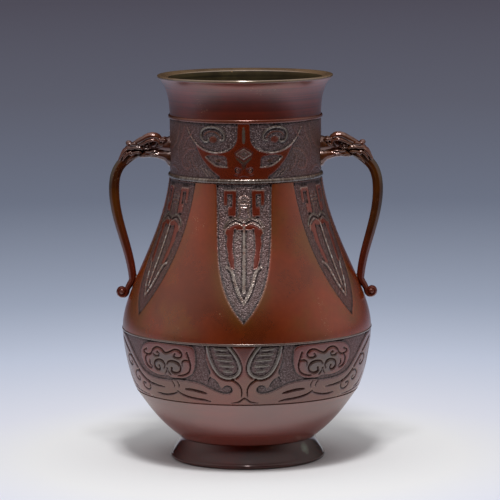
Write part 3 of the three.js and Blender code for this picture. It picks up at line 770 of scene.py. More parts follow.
# Half of a blade's edge, as half-angle and height: it stays broad, then closes to a point.
edge_pulls = [(blade_half_angle, blade_top), (17.2, 188.3), (17.2, 148.7), (0, blade_tip)]
blade_outline = [tuple(place) for place in cubic(*np.array(edge_pulls), 25)]
blade_fields = [
    # square hooks: top bar, inner leg, outer leg and foot
    ([(5.6, 215.8), (14.9, 215.8), (14.9, 213), (5.6, 213)], -0.08),
    ([(5.6, 215), (8.3, 215), (8.3, 196.8), (5.8, 196.8)], -0.08),
    ([(12.4, 215), (14.9, 215), (14.4, 204.6), (12.1, 204.6)], -0.08),
    ([(6.4, 203.6), (11.2, 203.6), (10.9, 197), (6.4, 196.6)], -0.1),
    # side arms
    ([(6.4, 187.6), (12.5, 187.6), (12, 184.4), (10.5, 181.6), (10.9, 176.4), (9.5, 170), (9.2, 166),
      (7.5, 158.8), (5.3, 158.4), (5.8, 166), (6.8, 171), (7.1, 177), (6.9, 183)], -0.1),
    # the root between the moustache arcs
    ([(0, 191.4), (2.6, 190.6), (6, 190.6), (9.6, 188.6), (9.2, 186.6), (6, 187.6), (3, 186.6),
      (0, 187.6)], -0.15),
]
blade_lines = [
    # stem: two bars, a dome and the sides of a trumpet
    ([(0, 209.1), (4.3, 208.9)], 0.75, -0.15, 0.4, 0.6),
    ([(0, 206.3), (4.5, 206.1)], 0.7, -0.2, 0.4, 0.6),
    ([(0, 212.2), (2.2, 211.6), (3.4, 210.4)], 0.5, -0.3, 0.3, 0.5),
    ([(3.4, 204.8), (2.7, 201.6), (3.2, 198.4), (4.9, 195.6)], 0.6, -0.2, 0.2, 0.8),
    ([(0, 203.6), (1.6, 203.4)], 0.6, -0.3, 0.3, 0.6),
    # moustache
    ([(13.2, 187.6), (12, 190.8), (9.6, 193.6), (6.6, 195.2), (3.4, 194.8),
      (0, 192.6)], 0.9, -0.1, 0.1, 1.0),
    ([(12.4, 184.4), (11.4, 187.6), (9.2, 190.2), (6.2, 191.8), (3, 191.2),
      (0, 188.7)], 0.45, 0.05, 0.8, 0.2),
    # midrib and V
    ([(0, 188.4), (0, 165), (0, 141.6)], 0.9, 0.15, 0.95, 0.1),
    ([(9.8, 159.8), (8, 158.6), (6.3, 155.8), (5.1, 150.6), (3.2, 142.6),
      (0, 133.6)], 0.85, 0.1, 0.95, 0.1),
    # bright tops of the hooks
    ([(6, 216.3), (14.6, 216.3)], 0.45, 0.15, 0.9, 0.1),
]


def carve_blade(sheet):
    """One blade, folded on its middle line."""
    field = sheet.field_cover(mirrored(blade_outline), sharp=True, edge=0.35)
    sheet.settle(field, -ground_depth, ground=1.0)
    for points, level in blade_fields:
        if points[0][0] == 0:
            points = mirrored(points)
        cover = sheet.field_cover(points, sharp=True, edge=0.25)
        sheet.settle(cover, level, ground=0.0, red=1.0)
    channel = [(1.1, 187), (5.6, 186.4), (5.4, 160), (4.4, 152), (1.1, 146)]
    pale = step_up(0.1, 0.4, ripple(sheet.along, sheet.up, 12, 2.6))
    sheet.worn += 0.35 * pale * sheet.field_cover(channel, sharp=True)
    for line, half_width, level, worn, olive in blade_lines:
        sheet.raise_line(line, half_width, level, worn=worn, olive=olive, taper=(0.8, 0.8))
    under_v = [(11.4, 160.2), (9, 157.4), (7.4, 153.6), (6.2, 148.6), (4.4, 141.4), (1.6, 134)]
    sheet.cut_line(under_v, 0.5, 0.2)
    sheet.relief += 0.12 * sheet.ground * ripple(sheet.along, sheet.up, 21, 2.2)
    away, _ = sheet.to_line(sheet.places(blade_outline), 16)
    sheet.amber = (1 - field) * np.exp(-((away / 7) ** 2)) * (0.35 + 0.65 * step_up(205, 165, sheet.up))


print("blade lines:", len(blade_lines))

# %% [markdown]
# ## Aged bronze as a finish
# The brown is a thin chemical skin over yellow metal, waxed and handled for a century. Shared effects
# are node groups: one clouds the skin between three browns, one pits the punched ground and paints
# highlights on its grains, and one scratches the skin down to the metal. Each finish gives the skin its own
# colours.

# %% Shared effects


def group(name, inputs, outputs):
    """An empty node group and its two end nodes. Inputs and outputs give each name its kind."""
    made = bpy.data.node_groups.new(name, "ShaderNodeTree")
    for way, sockets in (("INPUT", inputs), ("OUTPUT", outputs)):
        for label, kind in sockets.items():
            made.interface.new_socket(label, in_out=way, socket_type="NodeSocket" + kind)
    return made, node(made, "NodeGroupInput"), node(made, "NodeGroupOutput")


def join(tree, value, socket):
    """Links an output to an input."""
    tree.links.new(value, socket)


def clouded_skin():
    """Broad soft clouds between a red, a brown and an amber skin, with finer mottling over them."""
    colours = {"Red": "Color", "Brown": "Color", "Amber": "Color"}
    made, given, out = group("clouded_skin", colours, {"Color": "Color", "Mottle": "Float"})
    place = node(made, "ShaderNodeTexCoord").outputs["Object"]
    fine = noise(made, place, 260.0, 5.0, 0.65)
    to_brown = ramp(made, noise(made, place, 14.0, 3.0, 0.55), [(0.36, 0.0), (0.66, 1.0)])
    to_amber = ramp(made, noise(made, place, 23.0, 4.0, 0.6), [(0.47, 0.0), (0.68, 0.85)])
    skin = mixed(made, to_brown, given.outputs["Red"], given.outputs["Brown"])
    skin = mixed(made, to_amber, skin, given.outputs["Amber"])
    speckle = ramp(made, fine, [(0.3, 0.86), (0.7, 1.06)], "LINEAR")
    join(made, mixed(made, 1.0, skin, speckle, "MULTIPLY"), out.inputs["Color"])
    join(made, fine, out.inputs["Mottle"])
    return made


def punched_ground():
    """Close round pits, as a hollow punch leaves them. Height is 0 in a pit and 1 between pits, and
    glint is 1 where a grain of the ground gets a painted highlight."""
    made, _, out = group("punched_ground", {}, {"Height": "Float", "Glint": "Float"})
    place = node(made, "ShaderNodeTexCoord").outputs["Object"]
    pits = node(made, "ShaderNodeTexVoronoi", {"Vector": place, "Scale": 720.0, "Randomness": 0.85})
    bowl = ramp(made, pits.outputs["Distance"], [(0.1, 0.0), (0.62, 1.0)])
    grit = times(made, noise(made, place, 1500.0, 2.0), 0.5)
    glint = ramp(made, noise(made, place, 1050.0, 2.0, 0.6), [(0.4, 0.0), (0.68, 0.85)])
    join(made, plus(made, bowl, grit), out.inputs["Height"])
    join(made, glint, out.inputs["Glint"])
    return made


def handling_marks():
    """Short scratches and nicks down to the metal, thrown in every direction and only in patches."""
    made, _, out = group("handling_marks", {}, {"Mark": "Float"})
    place = node(made, "ShaderNodeTexCoord").outputs["Object"]
    drawn_out = {"Vector": place, "Rotation": (0.3, 0.9, 0.6), "Scale": (420, 3300, 900)}
    lines = noise(made, node(made, "ShaderNodeMapping", drawn_out).outputs[0], 1.0, 2.0)
    scratch = ramp(made, lines, [(0.66, 0.0), (0.7, 0.8)])
    nick = ramp(made, noise(made, place, 800.0, 1.0), [(0.78, 0.0), (0.82, 0.7)])
    patch = ramp(made, noise(made, place, 38.0, 2.0), [(0.62, 0.0), (0.68, 1.0)])
    join(made, times(made, maths(made, "MAXIMUM", scratch, nick), patch), out.inputs["Mark"])
    return made


effects = {"skin": clouded_skin(), "ground": punched_ground(), "marks": handling_marks()}
print("shared effects:", list(effects))

# %% [markdown]
# ## The bronze finishes
# One function builds them all. On the carved pieces it reads seven masks that are stored on the mesh:
# where the ground is punched, where a line is worn to pale metal, where the skin has turned olive, red
# or amber, and where the surface lies hollow or stands proud. Hollows are painted dark, as grime and
# painted shade, and proud places paler, as wear and painted highlight.

# %% Bronze
fresh_metal = tone(236, 190, 140)
worn_metal = tone(180, 166, 154)
# the near-white colour of painted glints on raised edges
glint_white = tone(246, 238, 230)
olive_metal = tone(76, 66, 52)
red_skin = tone(122, 31, 5)
amber_skin = tone(124, 66, 3)
ground_dark = tone(30, 23, 25)
# ground_glint is the colour of painted glints on the punched ground
ground_glint = tone(136, 122, 124)
# the colour of grime and painted shade in the hollows
crevice_shade_and_grime = tone(20, 12, 10)
pale_green = tone(142, 152, 134)


def use_group(tree, made, **colours):
    """Places a shared effect in a material."""
    placed = node(tree, "ShaderNodeGroup", node_tree=made)
    for label, colour in colours.items():
        placed.inputs[label].default_value = (*tone(*colour), 1)
    return placed


def towards_sides(tree, place, middle, side):
    """A value that changes between 25 and 50 mm to the left or right of the vase's axis."""
    aside = maths(tree, "ABSOLUTE", node(tree, "ShaderNodeSeparateXYZ", {0: place}).outputs["X"])
    return ramp(tree, times(tree, aside, 10.0), [(0.25, middle), (0.5, side)])


def bronze(
    name, red, brown, amber, ior, roughness=0.24, bump=0.25, masks=True, streaks=0.0, grain=0.4,
    ground_tint=0.3, bloom=None, metallic=0.3, side_dim_and_glint=0.0,
):
    """An aged bronze finish. Streaks are the faint rings that turning on a wheel leaves. Grain is the
    height of the skin's mottling, ground tint the skin's share in the punched ground, bloom the place
    of a pale-green spot, metallic how far the skin lets the metal's own reflection through, and side
    dim and glint how far the pale lines are dimmed towards the sides and painted glints are put on
    the raised edges there."""
    material = bpy.data.materials.new(name)
    material.use_nodes = True
    tree = material.node_tree
    shader = tree.nodes["Principled BSDF"]
    skin = use_group(tree, effects["skin"], Red=red, Brown=brown, Amber=amber)
    marks = use_group(tree, effects["marks"])
    colour, mottle = skin.outputs["Color"], skin.outputs["Mottle"]
    place = node(tree, "ShaderNodeTexCoord").outputs["Object"]
    height = times(tree, mottle, grain)
    if streaks:
        rings = node(tree, "ShaderNodeMapping", {"Vector": place, "Scale": (9, 9, 1100)})
        turned_lines = noise(tree, rings.outputs[0], 1.0, 3.0)
        shade = ramp(tree, turned_lines, [(0.3, 1 - streaks), (0.7, 1 + 0.4 * streaks)], "LINEAR")
        colour = mixed(tree, 1.0, colour, shade, "MULTIPLY")
        height = plus(tree, height, times(tree, turned_lines, 0.6 * streaks))
    rough = plus(tree, times(tree, mottle, 0.5 * grain), roughness - 0.25 * grain)
    colour = mixed(tree, marks.outputs["Mark"], colour, fresh_metal)
    if bloom:
        away = node(tree, "ShaderNodeVectorMath", {0: place, 1: bloom}, operation="DISTANCE")
        ragged = plus(tree, away.outputs["Value"], times(tree, mottle, 0.0045))
        colour = mixed(tree, ramp(tree, ragged, [(0.0034, 0.75), (0.0048, 0.0)]), colour, pale_green)
    shader.inputs["Metallic"].default_value = metallic
    if masks:
        ground, worn, olive, reddened, yellowed, hollow, proud = (
            node(tree, "ShaderNodeAttribute", attribute_name=label).outputs["Fac"] for label in mask_names
        )
        pits = use_group(tree, effects["ground"])
        # The ground's grains are lightened in places to a pale glint colour: painted highlights.
        dark = mixed(tree, pits.outputs["Glint"], ground_dark, ground_glint)
        dark = mixed(tree, towards_sides(tree, place, ground_tint, ground_tint + 0.16), dark, colour)
        patches = ramp(tree, noise(tree, place, 30.0, 3.0), [(0.38, 0.0), (0.6, 1.0)])
        patchy = ramp(tree, noise(tree, place, 190.0, 3.0), [(0.32, 0.45), (0.58, 1.0)])
        sparks = ramp(tree, noise(tree, place, 420.0, 3.0), [(0.48, 0.0), (0.58, 1.0)])
        # Towards the sides the pale lines are dimmed, and the raised edges get painted glints in specks.
        worn = times(tree, worn, towards_sides(tree, place, 1.0, 1 - 0.6 * side_dim_and_glint))
        edges = maths(tree, "MAXIMUM", proud, times(tree, worn, 0.6))
        side_glints = times(tree, sparks, towards_sides(tree, place, 0.0, side_dim_and_glint))
        for share, shade in [
            (times(tree, yellowed, patches), amber_skin),
            (times(tree, reddened, 0.75), red_skin),
            (times(tree, olive, 0.9), olive_metal),
            (ground, dark),
            (times(tree, worn, patchy), worn_metal),
            # Proud places turn paler in patches: partly wear on the high spots, partly painted highlight on
            # raised edges.
            (times(tree, proud, times(tree, patchy, 0.5)), worn_metal),
            # painted glints on the raised edges towards the sides
            (times(tree, edges, side_glints), glint_white),
            # hollows darkened: grime and painted shade in the creases
            (times(tree, hollow, 0.9), crevice_shade_and_grime),
        ]:
            colour = mixed(tree, share, colour, shade)
        rough = plus(tree, rough, times(tree, ground, 0.2))
        rough = plus(tree, rough, times(tree, hollow, 0.2))
        rough = maths(tree, "SUBTRACT", rough, times(tree, worn, 0.08), clamp=True)
        pitted = times(tree, times(tree, pits.outputs["Height"], 1.5), ground)
        height = plus(tree, height, pitted)
        # Hollows, and the ground in part, turn metallic so that they mirror only their own dark colour: in
        # the hollows a painted shade.
        sunk = maths(tree, "MAXIMUM", hollow, times(tree, ground, 0.6))
        join(tree, maths(tree, "MAXIMUM", sunk, metallic), shader.inputs["Metallic"])
    bumped = node(tree, "ShaderNodeBump", {"Height": height, "Strength": bump, "Distance": 0.0004})
    join(tree, colour, shader.inputs["Base Color"])
    join(tree, rough, shader.inputs["Roughness"])
    join(tree, bumped.outputs[0], shader.inputs["Normal"])
    shader.inputs["IOR"].default_value = ior
    return material


body_bronze = bronze(
    "body_bronze", (157, 58, 6), (125, 48, 6), (136, 68, 3), ior=2.3, metallic=0.42, bump=0.6,
    grain=0.05, ground_tint=0.2, side_dim_and_glint=1.0,
)
frieze_bronze = bronze(
    "frieze_bronze", (128, 48, 22), (104, 42, 20), (110, 54, 18), ior=2.3, metallic=0.4, bump=0.6,
    grain=0.2, ground_tint=0.3,
)
belly_bronze = bronze(
    "belly_bronze", (130, 46, 22), (108, 40, 20), (114, 50, 20), ior=2.95, metallic=0.32,
    roughness=0.26, grain=0.05, streaks=0.4,
)
mouth_bronze = bronze(
    "mouth_bronze", (140, 42, 11), (112, 37, 11), (118, 48, 11), ior=2.35, metallic=0.36, bump=0.4,
    roughness=0.28, grain=0.05, streaks=0.4, masks=False,
)
inside_bronze = bronze(
    "inside_bronze", (58, 46, 28), (36, 29, 18), (70, 60, 36), ior=1.2, roughness=0.75, bump=0.9,
    streaks=0.5, masks=False,
)
lip_bronze = bronze(
    "lip_bronze", (142, 112, 84), (112, 88, 66), (130, 106, 78), ior=2.6, roughness=0.15, masks=False
)
foot_bronze = bronze(
    "foot_bronze", (92, 22, 8), (64, 17, 7), (72, 27, 8), ior=1.85, roughness=0.13, grain=0.1,
    streaks=0.2, bloom=(0.0452, -0.0318, 0.0115), masks=False,
)
head_bronze = bronze(
    "head_bronze", (124, 50, 18), (76, 32, 13), (112, 62, 20), ior=2.2, metallic=0.35, bump=0.5,
    roughness=0.16,
)
bow_bronze = bronze("bow_bronze", (96, 40, 14), (68, 32, 11), (80, 46, 14), ior=1.7, metallic=0.4)
plate_bronze = bronze(
    "plate_bronze", (80, 52, 38), (62, 46, 34), (76, 58, 38), ior=1.8, roughness=0.5, bump=0.8,
    masks=False,
)
print("finishes:", [m.name for m in bpy.data.materials])

# %% [markdown]
# ## Rings of the vessel
# The body is one casting and the neck another. Here each is dressed as closed rings that meet at the
# raised lines, so the carved bands can be fine and the plain walls light. A ring is a loop of rows:
# up the outside, over the top, down the inside and back under the bottom.

# %% Ring helper


def ring(
    name, degrees, outside, inside, node_name, materials, relief=None, masks=None, lift=None,
    proud_from=0.36, slots=None,
):
    """A closed ring. Relief moves the outside rows along their lift, which is their outward direction
    if none is given. Slots number each row's material: 0 outside and 1 inside, if none are given."""
    relief = np.zeros((len(outside), len(degrees))) if relief is None else relief
    relief = 0.55 * relief + 0.45 * blurred(relief, 1)
    lean = outward(outside) if lift is None else lift
    skin = outside[:, None] + relief[:, :, None] * lean[:, None]
    core = np.broadcast_to(inside[:, None], (len(inside), len(degrees), 2))
    points = turned(np.concatenate([skin, core]), degrees)
    mesh = grid_mesh(name, points, close_rows=True)
    around = blurred(relief, 3)
    masks = dict(masks or {})
    # Hollow marks places lying below their surroundings, which the finish paints dark as grime and painted
    # shade; proud marks places standing out, which it pales as wear and painted highlight.
    masks["hollow"] = (around - relief - 0.05) / 0.19
    masks["proud"] = (relief - around - proud_from) / 0.3
    for label in mask_names:
        values = np.zeros((len(points), len(degrees)))
        if label in masks:
            values[: len(outside)] = np.clip(masks[label], 0, 1)
        tag(mesh, label, values)
    piece = new_object(name, mesh)
    for material in materials:
        mesh.materials.append(material)
    if slots is None:
        slots = np.repeat([0, 1], [len(outside), len(inside)])
    mesh.polygons.foreach_set("material_index", np.repeat(slots, len(degrees)).astype(np.int32))
    return finish_piece(piece, node_name)


def folded(count):
    """For each of count columns, its column in a quarter that is mirrored at the front, sides and back."""
    column = np.arange(count) % (count // 2)
    return np.minimum(column, count // 2 - column)


print("ring helper ready")

# %% [markdown]
# ## The underbelly
# Below the frieze the wall is plain and rounds in to a spigot that drops into the foot. On the floor
# inside, a small ledge carries the plate that closes the core hole.

# %% Underbelly
plain_columns = 256
plain_degrees = np.arange(plain_columns) * 360 / plain_columns
boss_bottom = 9.5
boss_radius = foot_top_radius - foot_wall - clearance
plate_radius = boss_radius - 2.3
plate_bore = plate_radius + clearance
ledge_radius = plate_radius - 2.3
ledge_under = foot_top - 5
ledge_top = ledge_under + 4.6
skin = at_heights(underbelly, np.linspace(foot_top, frieze_bottom, 46))
core = skin - wall * outward(skin)
core = core[(core[:, 0] > ledge_radius) & (core[:, 1] > ledge_top)]
ledge = [(ledge_radius, ledge_top), (ledge_radius, ledge_under), (plate_bore, ledge_under)]
outside = np.vstack([[[boss_radius, boss_bottom], [boss_radius, foot_top]], skin])
inside = np.vstack([core[::-1], ledge, [[plate_bore, boss_bottom]]])
# Below 48 mm the skin turns to the darker red, fully so below 30 mm: painted shade, for the shadowed floor
# that this downturned wall mirrors.
reddened = np.tile(step_up(48, 30, outside[:, 1:2]), (1, plain_columns))
ring(
    "plain_underbelly", plain_degrees, outside, inside, "body_section", [belly_bronze, inside_bronze],
    masks={"red": reddened},
)

# %% [markdown]
# ## The frieze ring
# The carved sheet bends onto the wall: each place moves outwards by its relief. A raised line closes
# the frieze at the top.

# %% Frieze ring
frieze_columns = 920
frieze_degrees = np.arange(frieze_columns) * 360 / frieze_columns
quarter = frieze_degrees[: frieze_columns // 4 + 1]
frieze_heights = np.linspace(frieze_bottom + 0.1, frieze_top - line_height / 2 - 0.1, 91)
sheet = Sheet(*np.meshgrid(quarter, frieze_heights), lambda height: frieze_scale)
carve_frieze(sheet)
top_line = half_round(belly_radius, frieze_top, line_height, line_proud, 7)
frieze_skin = at_heights(frieze_wall, frieze_heights)
outside = np.vstack([frieze_skin, top_line])
lift = np.vstack([outward(frieze_skin), np.tile([1.0, 0.0], (len(top_line), 1))])
columns = folded(frieze_columns)


def unfolded(sheet, columns, below=0, above=0, **plain):
    """A sheet's relief and masks carried round the ring, with plain rows added below and above. Plain
    gives what the masks are there."""
    values = {}
    for name in ("relief", *carved_masks):
        rows = getattr(sheet, name)[:, columns]
        values[name] = np.pad(rows, ((below, above), (0, 0)), constant_values=plain.get(name, 0.0))
    return values.pop("relief"), values


relief, masks = unfolded(sheet, columns, above=len(top_line), worn=0.12, olive=0.7)
core_heights = np.linspace(frieze_top + line_height / 2, frieze_bottom, 5)
inside = at_heights(np.vstack([frieze_wall, [[belly_radius, frieze_top + 2]]]), core_heights) - [wall, 0]
ring(
    "carved_frieze", frieze_degrees, outside, inside, "body_section", [frieze_bronze, inside_bronze],
    relief, masks, lift,
)

# %% [markdown]
# ## The shoulder ring
# The columns stand close inside the six blades and wide between them. One twelfth is carved and
# folded round.

# %% Shoulder ring
past_blade = blade_half_angle + 0.4
dense = np.linspace(0, past_blade, 48)
sparse = np.linspace(past_blade, 30, 6)[1:]
twelfth = np.concatenate([dense, sparse])
half_count = len(twelfth) - 1
column = np.arange(12 * half_count)
within = column % (2 * half_count)
columns = np.minimum(within, 2 * half_count - within)
sector = 60.0 * (column // (2 * half_count))
shoulder_degrees = sector + np.where(within <= half_count, twelfth[columns], 60 - twelfth[columns])
below_tip = blade_tip - 1.3
shoulder_heights = np.concatenate([
    np.linspace(frieze_top + line_height / 2, below_tip, 8)[:-1],
    np.linspace(below_tip, seam - clearance, 134),
])
sheet = Sheet(*np.meshgrid(twelfth, shoulder_heights), shoulder_scale)
carve_blade(sheet)
outside = at_heights(shoulder, shoulder_heights)
spigot_radius = neck_inside + (wall - clearance) / 2
lap_radius, lap_bottom = spigot_radius + clearance, seam - spigot - clearance
core = at_heights(shoulder, np.linspace(lap_bottom, frieze_top + line_height / 2, 12)[1:])
core = core - wall * outward(core[::-1])[::-1]
lap = [(lap_radius, seam - clearance), (lap_radius, lap_bottom), (neck_inside, lap_bottom)]
ring(
    "bladed_shoulder", shoulder_degrees, outside, np.vstack([lap, core]), "body_section",
    [body_bronze, inside_bronze], *unfolded(sheet, columns), proud_from=0.2,
)

# %% [markdown]
# ## The neck ring
# The neck is its own casting. Its worn bead covers the seam, the mask band stands over it, and a
# ridge ends it under the mouth. A spigot reaches down inside the shoulder.

# %% Neck ring
neck_columns = 840
neck_degrees = np.arange(neck_columns) * 360 / neck_columns
quarter = neck_degrees[: neck_columns // 4 + 1]
neck_heights = np.linspace(seam + bead_height + 0.1, ridge_middle - ridge_height / 2 - 0.1, 84)
sheet = Sheet(*np.meshgrid(quarter, neck_heights), lambda height: neck_scale)
carve_neck(sheet)
bead = half_round(neck_radius, seam + bead_height / 2, bead_height, bead_proud)
ridge = half_round(neck_radius, ridge_middle, ridge_height, ridge_proud)
band = np.column_stack([np.full(len(neck_heights), neck_radius), neck_heights])
outside = np.vstack([bead, band, ridge])
columns = folded(neck_columns)
relief, masks = unfolded(sheet, columns, len(bead), len(ridge))
turn = np.radians(neck_degrees)
bead_waves = [np.sin(pitch * turn + pitch) for pitch in (7, 19, 31, 67, 113, 151)]
wear = sum(bead_waves) / 6 * np.linspace(0.6, 1.4, len(bead))[:, None]
relief[: len(bead)] += 0.2 * wear - 0.16
masks["worn"][: len(bead)] = 0.2 + 0.5 * wear
masks["olive"][: len(bead)] = 0.95
masks["red"][-len(ridge) :] = 0.35
masks["olive"][-len(ridge) :] = 0.3
lift = np.tile([1.0, 0.0], (len(outside), 1))
inner_joint = (neck_inside, ridge_middle + ridge_height / 2)
inside = np.array([
    inner_joint, (neck_inside, 240), (neck_inside, seam - spigot), (spigot_radius, seam - spigot),
    (spigot_radius, seam),
])
ring(
    "masked_neck", neck_degrees, outside, inside, "neck_section", [body_bronze, inside_bronze],
    relief, masks, lift,
)

# %% [markdown]
# ## The mouth
# Above the ridge the wall sweeps out to a broad flat lip that dips slightly towards the throat.

# %% Mouth ring
mouth_skin = at_heights(mouth, np.linspace(ridge_middle + ridge_height / 2, rim - lip_depth, 44))
edge_turn = np.linspace(-0.5, 0.5, 7) * np.pi
edge_radius = lip_depth / 2
edge = np.column_stack([
    mouth_radius - 0.8 + 0.8 * np.cos(edge_turn),
    rim - edge_radius + edge_radius * np.sin(edge_turn),
])
lip = np.column_stack([
    np.linspace(mouth_radius - 1.6, mouth_radius - lip_width, 8),
    rim - lip_dip * np.linspace(0.04, 1, 8) ** 1.2,
])
outside = np.vstack([mouth_skin, edge[1:], lip])
inside = np.vstack([throat[::2][1:], [inner_joint]])
first_of_lip = len(mouth_skin) + 1
slots = np.repeat([0, 2, 1], [first_of_lip, len(outside) - first_of_lip, len(inside)])
ring(
    "flared_mouth", plain_degrees, outside, inside, "neck_section",
    [mouth_bronze, inside_bronze, lip_bronze], slots=slots,
)

# %% [markdown]
# ## The foot and the closing plate
# The foot is a splayed ring, turned and left darker. The plate under it closes the core hole.

# %% Foot and plate
flare_top = foot_top - clearance
flare = eased_curve((foot_radius, 2), 112, 0.24, (foot_top_radius, flare_top), 100, 0.35, 24)
base_turn = np.radians(np.linspace(-90, 55, 11))
edge_round = 1.9
base_edge = edge_round * np.column_stack([np.cos(base_turn), np.sin(base_turn)])
base_edge += [foot_radius - edge_round, edge_round]
foot_profile = np.vstack([
    base_edge, flare[flare[:, 1] > 4],
    [(foot_top_radius - foot_wall, flare_top), (52.4, 8), (foot_radius - foot_wall, 0.0)],
])


def lathe(name, profile, material, node_name, columns):
    """A closed profile of radius and height turned about the axis. Points on the axis are merged."""
    degrees = np.arange(columns) * 360 / columns
    mesh = merged_mesh(name, [turned(np.array(profile, float), degrees)], close_rows=True)
    return finish_piece(new_object(name, mesh, material), node_name)


lathe("splayed_foot", foot_profile, foot_bronze, "foot_ring", plain_columns)
plate_top, plate_edge = ledge_under - clearance, 0.5
plate_profile = [
    (0, plate_top - 3), (plate_radius - plate_edge, plate_top - 3),
    (plate_radius, plate_top - 3 + plate_edge), (plate_radius, plate_top), (0, plate_top),
]
lathe("closing_plate", plate_profile, plate_bronze, "base_plate", 128)

# %% [markdown]
# ## The bow of a handle
# The bow is a bevelled strap, cast with a leaf at its upper end that the beast holds in its mouth. It
# bends over, sweeps down to the shoulder, lies on it and ends in a small scroll. The section is
# carried along a line in the plane of the handle, and the left handle is the right one turned half
# round.

# %% Bow
arm_height = seam + 20
head_length, head_depth = 35.5, 24.0
bow_tip = (neck_radius + 0.56 * head_length, arm_height - 0.07 * head_depth)
bow_shoulder = (neck_radius + 43.2, arm_height - 31)
bow_foot_height = frieze_top + 38
scroll_radius = 4.9
bow_foot_thickness = 6.0


def shoulder_radius(height):
    """The shoulder's outside radius at a height."""
    return float(np.interp(height, shoulder[:, 1], shoulder[:, 0]))


scroll_height = bow_foot_height - 10.4
scroll_centre = (shoulder_radius(scroll_height) + scroll_radius + 0.3 * bow_foot_thickness, scroll_height)
bow_foot = (shoulder_radius(bow_foot_height) + bow_foot_thickness / 2 - 0.5, bow_foot_height)


def bow_line():
    """The middle line of the strap, with its thickness and half-width at each point."""
    curl_start = (scroll_centre[0] - 0.8 * scroll_radius, scroll_centre[1])
    share = np.linspace(0, 1, 40)
    turn = np.pi * (1 + 2 * 1.15 * share)
    reach = scroll_radius * (0.8 - 0.5 * share)
    curl = scroll_centre + reach[:, None] * np.column_stack([np.cos(turn), np.sin(turn)])
    stretches = [
        (eased_curve(bow_tip, -12, 0.51, bow_shoulder, -90, 0.41, 56), 3.0, 7.99),
        (eased_curve(bow_shoulder, -90, 0.34, bow_foot, -94, 0.34, 56), 7.99, 6.0),
        (eased_curve(bow_foot, -94, 0.27, curl_start, -90, 0.36, 14), 6.0, 4.0),
        (curl, 4.0, 2.2),
    ]
    line, thick, wide = [], [], []
    for number, (points, start, end) in enumerate(stretches):
        along = np.linspace(0, 1, len(points))
        eased = step_up(-0.12, 0.36, along) if number == 0 else along
        kept = slice(0 if number == 0 else 1, None)
        line.append(points[kept])
        thick.append((start + (end - start) * eased)[kept])
        leaf = 1.5 * np.exp(-(((along - 0.16) / 0.14) ** 2)) if number == 0 else 0 * along
        curl_width = 0.5 * along if number == 3 else 0 * along
        wide.append((4.6 + leaf + curl_width)[kept])
    return np.vstack(line), np.concatenate(thick), np.concatenate(wide)


def bevelled_section(sides=40, corner=4.5, bevel=1.38):
    """A box with sides at 1 and rounded corners, whose corners are planed off where |a| + |b| > bevel."""
    turn = np.arange(sides) * 2 * np.pi / sides + 0.02
    box = np.column_stack([np.cos(turn), np.sin(turn)])
    box /= (np.abs(box) ** corner).sum(1)[:, None] ** (1 / corner)
    return box * np.minimum(1, bevel / np.abs(box).sum(1))[:, None]


def close_ends(points):
    """Adds a row at each end that gathers to one place, so that a tube has no holes."""
    first, last = (np.broadcast_to(row.mean(0), row.shape) for row in (points[0], points[-1]))
    return np.concatenate([first[None], points, last[None]])


def tag_bends(mesh, smoothings, low, high, proud_share):
    """Stores how far each point stands out from its neighbours' middle, as proud and hollow masks."""
    points = mesh_points(mesh)
    edges = np.empty(len(mesh.edges) * 2, np.int32)
    mesh.edges.foreach_get("vertices", edges)
    a, b = edges.reshape(-1, 2).T
    count = np.bincount(np.concatenate([a, b]), minlength=len(points))[:, None]
    calm = points
    for _ in range(smoothings):
        sums = [np.bincount(a, x[b], len(x)) + np.bincount(b, x[a], len(x)) for x in calm.T]
        calm = 0.5 * calm + 0.5 * np.column_stack(sums) / count
    standing = ((points - calm) * vertex_rows(mesh, "normal")).sum(1)
    # The finish paints hollow places dark as painted shade, and pales proud places as wear and painted
    # highlight.
    tag(mesh, "proud", proud_share * step_up(low, high, standing))
    tag(mesh, "hollow", step_up(low, high, -standing))
    for label in carved_masks:
        if label not in mesh.attributes:
            tag(mesh, label, np.zeros(len(points)))


def both_sides(mesh, name, material, node_name, sharp_angle=40):
    """The right piece from a mesh, and the left one from the same mesh turned half round."""
    for side, sign in (("right", 1), ("left", -1)):
        copy = mesh if sign == 1 else mesh.copy()
        points = mesh_points(copy) * [sign, sign, 1]
        copy.name = f"{side}_{name}"
        set_points(copy, points)
        piece = new_object(f"{side}_{name}", copy, material)
        finish_piece(piece, f"{side}_{node_name}", sharp_angle)


line, thick, wide = bow_line()
ahead = unit(np.gradient(line, axis=0))
section = bevelled_section()
across = thick[:, None] / 2 * section[None, :, 0]
strap = np.stack([
    line[:, None, 0] - ahead[:, None, 1] * across,
    wide[:, None] * section[None, :, 1],
    line[:, None, 1] + ahead[:, None, 0] * across,
], -1)
rounding = np.sqrt(1 - (1 - np.clip(np.arange(len(line)) / 5, 0, 1)) ** 2)
centre_line = np.stack([line[:, 0], 0 * line[:, 0], line[:, 1]], -1)[:, None, :]
strap = centre_line + (strap - centre_line) * np.maximum(rounding, 0.05)[:, None, None]
boss_turn = np.linspace(0, np.pi, 13)[:, None]
boss_round = np.arange(24)[None, :] * 2 * np.pi / 24
boss_radius_now = 0.62 * scroll_radius * np.sin(boss_turn) ** 0.6
boss = np.stack(np.broadcast_arrays(
    scroll_centre[0] + boss_radius_now * np.cos(boss_round),
    5.4 * np.cos(boss_turn) + 0 * boss_round,
    scroll_centre[1] + boss_radius_now * np.sin(boss_round),
), -1)
bow_mesh = merged_mesh("bow", [close_ends(strap), boss])
bow_points = mesh_points(bow_mesh)
